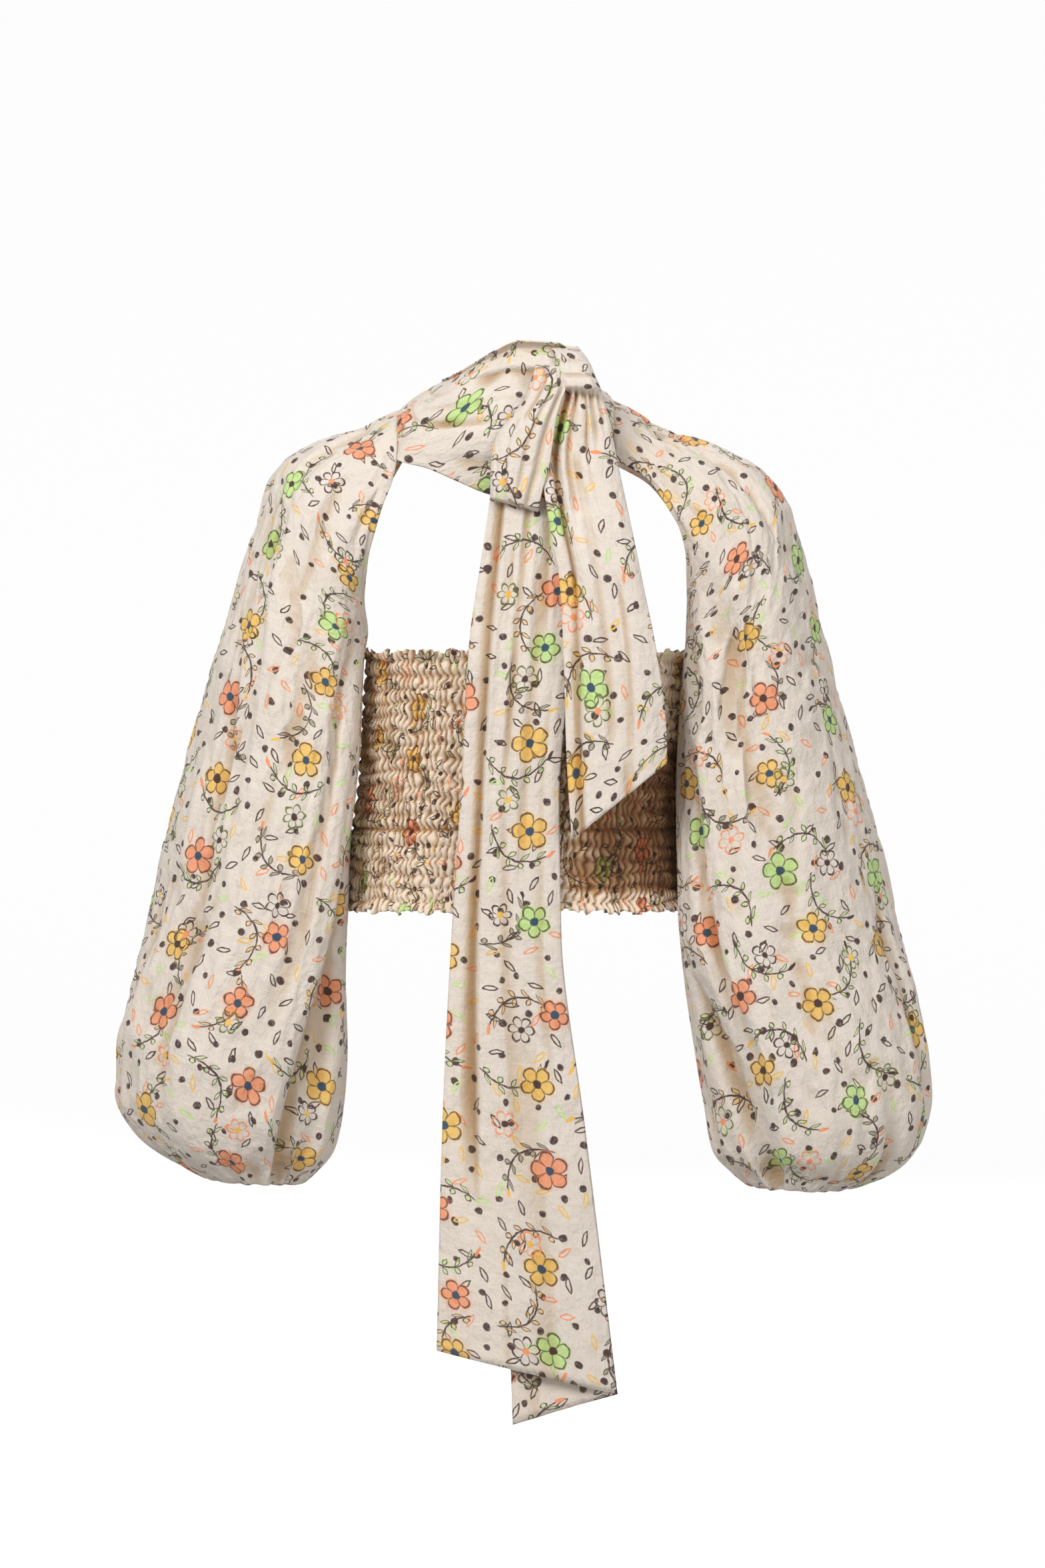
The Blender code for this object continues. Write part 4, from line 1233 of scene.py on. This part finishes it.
piece = band("back_band_cloth", "neck_band_back", BAND_BACK, BAND_BACK_FOLDS, 200, 50, True, 340)

# %% [markdown]
# ## The knot and the tails
#
# A tie's knot is a strap that wraps over the crossing, and two tails that leave it gathered and
# widen as they fall. A strap's table gives the left and right point of each station, its depth, and
# how far its edges lie behind its middle. Both tails are doubled: their right edge is a fold, and a
# back layer reaches behind the front one.

# %% The straps
STRAP_COLUMNS = "station left_x left_z right_x right_z y left_back right_back"
KNOT = table(
    STRAP_COLUMNS,
    (0, 13, 7, 30, 7, -68, 1, 1),
    (1, 10, 13.5, 30, 13, -81, 3, 3),
    (2, 9, 9, 31.5, 8, -91, 5, 4),
    (3, 6, 0, 32.5, -5, -96, 8, 4),
    (4, 1.4, -12.6, 29, -16, -98, 10, 4),
    (5, -9, -27, 25, -32, -101, 12, 4),
    (6, -20, -42, 22.5, -50, -103, 13, 4),
    (7, -24, -60, 20, -66, -104, 12, 4),
    (8, -24.5, -78, 15, -84, -104, 10, 4),
    (9, -24.5, -88, 12.3, -97, -102, 8, 4),
    (10, -23.5, -90, 11.8, -99.5, -96, 6, 3),
)
LONG_TAIL = table(
    STRAP_COLUMNS,
    (0, -23, -76, 30, -60, -88, 0, 0),
    (1, -25.5, -95, 33, -98, -91, 2, 3),
    (2, -32, -140, 35, -140, -96, 4, 4),
    (3, -40.5, -200, 37, -200, -101, 5, 5),
    (4, -47, -317, 28, -317, -102, 5, 5),
    (5, -53.5, -416, 29.5, -420, -102, 5, 5),
    (6, -60.5, -560, 48, -570, -102, 5, 5),
    (7, -65, -733, 72, -766, -101, 5, 5),
)
SHORT_TAIL = table(
    STRAP_COLUMNS,
    (0, 26, 22, 40, 23, -50, 2, 2),
    (1, 20, 31, 42, 29.5, -62, 3, 5),
    (2, 24, 22, 50, 18.5, -80, 6, 9),
    (3, 27, 8, 55, 6, -92, 8, 12),
    (4, 29, -3, 59, -4, -95, 8, 12),
    (5, 28, -9, 61.5, -13, -88, 6, 9),
    (6, 22, -26, 66, -28, -92, 3, 8),
    (7, 14, -61, 72, -61, -97, 3, 7),
    (8, 19.5, -105, 81, -105, -106, 4, 7),
    (9, 28, -155, 91, -155, -112, 5, 7),
    (10, 31, -215, 102, -211, -114, 5, 7),
    (11, 33, -284, 108, -258, -115, 5, 7),
    (12, 37, -347, 109, -289, -115, 5, 7),
)
print("long tail's hem at z", LONG_TAIL["right_z"].min(), "mm")

# %% The straps' points
STRAP_EASE = 0.8


def strap_points(sections, station, across, folds):
    """Points of a strap's front layer: across runs from 0, its left edge, to 1, its right edge.

    The edges bend back by the fourth power of how far they are from the middle.
    """
    left_x, left_z, right_x, right_z, y, left_back, right_back = columns_at(sections, station)
    x = left_x + (right_x - left_x) * across
    z = left_z + (right_z - left_z) * across
    back = np.where(across < 0.5, left_back, right_back) * (2 * across - 1) ** 4
    return grid(x, y + back + creases(folds, station, across, STRAP_EASE), z)


def strap_grid(sections, rows, steps):
    """The station of each row and the share across of each column, as two whole grids."""
    station = np.linspace(0, sections["station"][-1], rows + 1)[:, None]
    return np.broadcast_arrays(station, np.linspace(0, 1, steps + 1)[None, :])


def strap_uv(points, offset):
    """Flat cloth: across by each point's own length, and down by the length of the middle."""
    middle = points.shape[1] // 3
    down = length_along(points, 0)[:, middle : middle + 1]
    across = length_along(points, 1)
    return grid(across - across[:, middle : middle + 1] + offset, -down)


# %% The knot
KNOT_FOLDS = table(
    CREASE_COLUMNS,
    (0.4, 5.6, 0.55, 0.30, 3.0, 0.06, 2.2),
    (1.2, 10.4, 0.90, 0.70, 3.6, 0.07, 0.5),
    (2.6, 8.6, 0.62, 0.52, 1.8, 0.05, 0.6),
    (4.6, 10.4, 0.20, 0.34, 2.6, 0.07, 1.8),
    (6.0, 10.4, 0.10, 0.12, 1.6, 0.05, 0.7),
    (0.2, 3.2, 0.25, 0.12, 2.0, 0.06, 1.0),
    (0.2, 3.0, 0.75, 0.80, 2.0, 0.05, 1.0),
)
station, across = strap_grid(KNOT, 110, 60)
points = strap_points(KNOT, station, across, KNOT_FOLDS)
# Painted fold shade, from how far each point lies under the blurred knot.
painted_shade = painted_fold_shade(points, True, FOLD_SHADE_DEPTH)
piece = cloth("knot_cloth", "knot", points, strap_uv(points, 700), True, painted_shade)

# %% [markdown]
# ## The two tails
#
# The long tail hangs from under the knot to well below the hem. Its left third lies behind the rest
# in a pleat. The short one fans out in front of it, over the right keyhole, and ends on a slant.

# %% The tails' creases
NO_FOLDS = table(CREASE_COLUMNS, (0, 1, 0, 0, 0, 1, 1))
LONG_TAIL_FOLDS = table(
    CREASE_COLUMNS,
    (-0.6, 6.6, 0.17, 0.24, 6.5, 0.05, 2.6),
    (-0.4, 4.2, 0.52, 0.42, 3.0, 0.05, 0.6),
    (0.3, 3.4, 0.80, 0.74, 3.0, 0.05, 1.7),
    (1.2, 4.8, 0.36, 0.34, 2.4, 0.05, 1.5),
    (1.6, 5.0, 0.66, 0.60, 3.0, 0.05, 0.6),
    (2.8, 6.2, 0.84, 0.80, 2.4, 0.08, 1.7),
    (3.6, 6.6, 0.44, 0.52, 2.2, 0.08, 0.6),
    (5.0, 7.6, 0.70, 0.62, 1.6, 0.09, 1.4),
)
SHORT_TAIL_FOLDS = table(
    CREASE_COLUMNS,
    (4.2, 9.6, 0.14, 0.20, 4.2, 0.05, 0.6),
    (4.2, 12.6, 0.27, 0.11, 4.8, 0.05, 2.0),
    (4.2, 8.4, 0.38, 0.34, 4.4, 0.05, 0.6),
    (4.2, 7.2, 0.58, 0.62, 3.4, 0.04, 1.5),
    (4.3, 7.0, 0.66, 0.76, 4.2, 0.05, 0.7),
    (4.2, 6.6, 0.86, 0.90, 3.0, 0.04, 1.4),
    (4.0, 5.6, 0.22, 0.20, 2.4, 0.03, 1.0),
    (4.0, 5.8, 0.37, 0.36, 2.4, 0.03, 1.0),
    (4.0, 5.8, 0.51, 0.52, 2.4, 0.03, 1.0),
    (4.0, 5.6, 0.76, 0.78, 2.2, 0.03, 1.0),
    (6.4, 11.4, 0.46, 0.44, 2.6, 0.06, 0.6),
    (8.5, 12.6, 0.74, 0.60, 2.0, 0.09, 1.6),
)
WRAP_FOLDS = table(
    CREASE_COLUMNS,
    (-0.3, 1.3, 1.2, 1.5, 2.2, 0.16, 0.7),
    (-0.3, 1.3, 2.5, 2.1, 2.6, 0.18, 1.5),
    (-0.1, 1.3, 3.3, 3.1, 2.4, 0.16, 0.6),
    (0.3, 1.3, 2.7, 3.6, 1.4, 0.10, 1.2),
    (-0.3, 0.8, 0.8, 0.9, 1.4, 0.12, 1.3),
)
print(len(LONG_TAIL_FOLDS["start"]), "and", len(SHORT_TAIL_FOLDS["start"]), "creases")

# %% The tails
FOLD_BACK = 5.0
WRAP_EASE = 0.3
TAIL_CREASES = 22


def folded_tail(
    name, node, sections, folds, wraps, rows, steps, back_reach, back_drop, offset, seed
):
    """A strap folded at its right edge, with a back layer that reaches back across its width.

    `wraps` are creases that cross the strap, so the station takes the place of `across` in their
    table. back_drop is how far the back layer's free corner hangs below the fold, at the very end.
    """
    end = sections["station"][-1]
    small = small_creases(
        seed, TAIL_CREASES, along=(0, end), across=(0, 1), depth=(0.4, 1.3),
        width=(0.015, 0.05), length=(0.8, 4.0), drift=0.1,
    )
    station, across = strap_grid(sections, rows, steps)
    front = strap_points(sections, station, across, together(folds, small))
    front[..., 1] += creases(wraps, across, station, WRAP_EASE)
    right = front[:, -1:, :]
    turn = np.linspace(0, 1, steps // 2 + 1)[None, 1:]
    width = front[:, -1:, 0] - front[:, :1, 0]
    down = station[:, :1] / end
    sway = 0.8 * wobble(seed + 1, turn + down, 0.8)
    back = grid(
        right[..., 0] - width * back_reach * turn,
        right[..., 1] + FOLD_BACK * np.minimum(1, 3 * turn) + sway,
        right[..., 2] - back_drop * turn * down**4,
    )
    points = np.concatenate([front, back], axis=1)
    # Painted fold shade, from how far each point lies under the blurred tail.
    painted_shade = painted_fold_shade(points, True, FOLD_SHADE_DEPTH)
    piece = cloth(name, node, points, strap_uv(points, offset), True, painted_shade)


folded_tail(
    "long_tail_cloth", "tail_long", LONG_TAIL, LONG_TAIL_FOLDS, NO_FOLDS, 200, 62, 0.58, 24.0,
    900, 8,
)
folded_tail(
    "short_tail_cloth", "tail_short", SHORT_TAIL, SHORT_TAIL_FOLDS, WRAP_FOLDS, 170, 76, 0.3,
    -28.0, 1200, 9,
)

# %% [markdown]
# ## The studio
#
# A pale floor runs up into a round wall, so no edge shows from any side. The profile is a flat
# disc, a quarter circle and a straight wall, turned once round. Two large soft lamps stand in
# front and a third behind, and the open sky above fills the shadows.

# %% The floor
FLOOR_Z = -1.3
ROOM_RADIUS = 6.5
CURVE_RADIUS = 2.0
WALL_TOP = 4.5
DISC_HOLE = 0.0003
DISC_RING = 2.0


def studio():
    """The round sweep: radius and height of its profile, turned about Z."""
    bend = np.linspace(0, math.pi / 2, 17)
    curve = ROOM_RADIUS - CURVE_RADIUS * (1 - np.sin(bend))
    radius = np.concatenate([[DISC_HOLE, DISC_RING], curve, [ROOM_RADIUS]])[:, None]
    height = np.concatenate([[0.0, 0.0], CURVE_RADIUS * (1 - np.cos(bend)), [WALL_TOP]])
    angle = np.linspace(0, 2 * math.pi, 97)[None, :]
    points = grid(radius * np.cos(angle), radius * np.sin(angle), height[:, None] + FLOOR_Z)
    floor = placed("floor", grid_mesh("floor", points, points[..., :2], True))
    paint = Shader("pale_floor")
    plain = paint.make(
        "BsdfPrincipled",
        None,
        {
            "Base Color": seen(250, 250, 250),
            "Roughness": 0.9,
            "Emission Color": (1.0, 1.0, 1.0, 1.0),
            "Emission Strength": 0.5,
        },
    )
    paint.make("OutputMaterial", None, {"Surface": plain})
    floor.data.materials.append(paint.material)
    floor.visible_diffuse = False


studio()
print("floor at", FLOOR_Z, "m")

# %% Lamps and sky
AIM = np.array([0, 0, -0.35])


def lamp(name, place, size, power):
    """A square soft lamp at a place, turned towards the middle of the top."""
    light = bpy.data.lights.new(name, "AREA")
    light.energy = power
    light.size = size
    holder = placed(name, light)
    holder.location = place
    away = np.array(place) - AIM
    tilt = math.acos(away[2] / np.linalg.norm(away))
    holder.rotation_euler = (tilt, 0, math.atan2(away[0], -away[1]))
    print(f"{name} lamp: {power} W, {np.linalg.norm(away):.1f} m away")


lamp("key", (-1.2, -2.2, 1.3), 1.1, 57)
lamp("fill", (2.2, -2.6, 0.8), 2.0, 36)
lamp("rim", (0.5, 3.5, 1.8), 2.4, 80)
sky = bpy.data.worlds.new("sky")
sky.use_nodes = True
background = sky.node_tree.nodes["Background"]
background.inputs["Color"].default_value = (1.0, 1.0, 1.0, 1.0)
background.inputs["Strength"].default_value = 0.41
bpy.context.scene.world = sky
bpy.context.scene.view_settings.view_transform = "Standard"
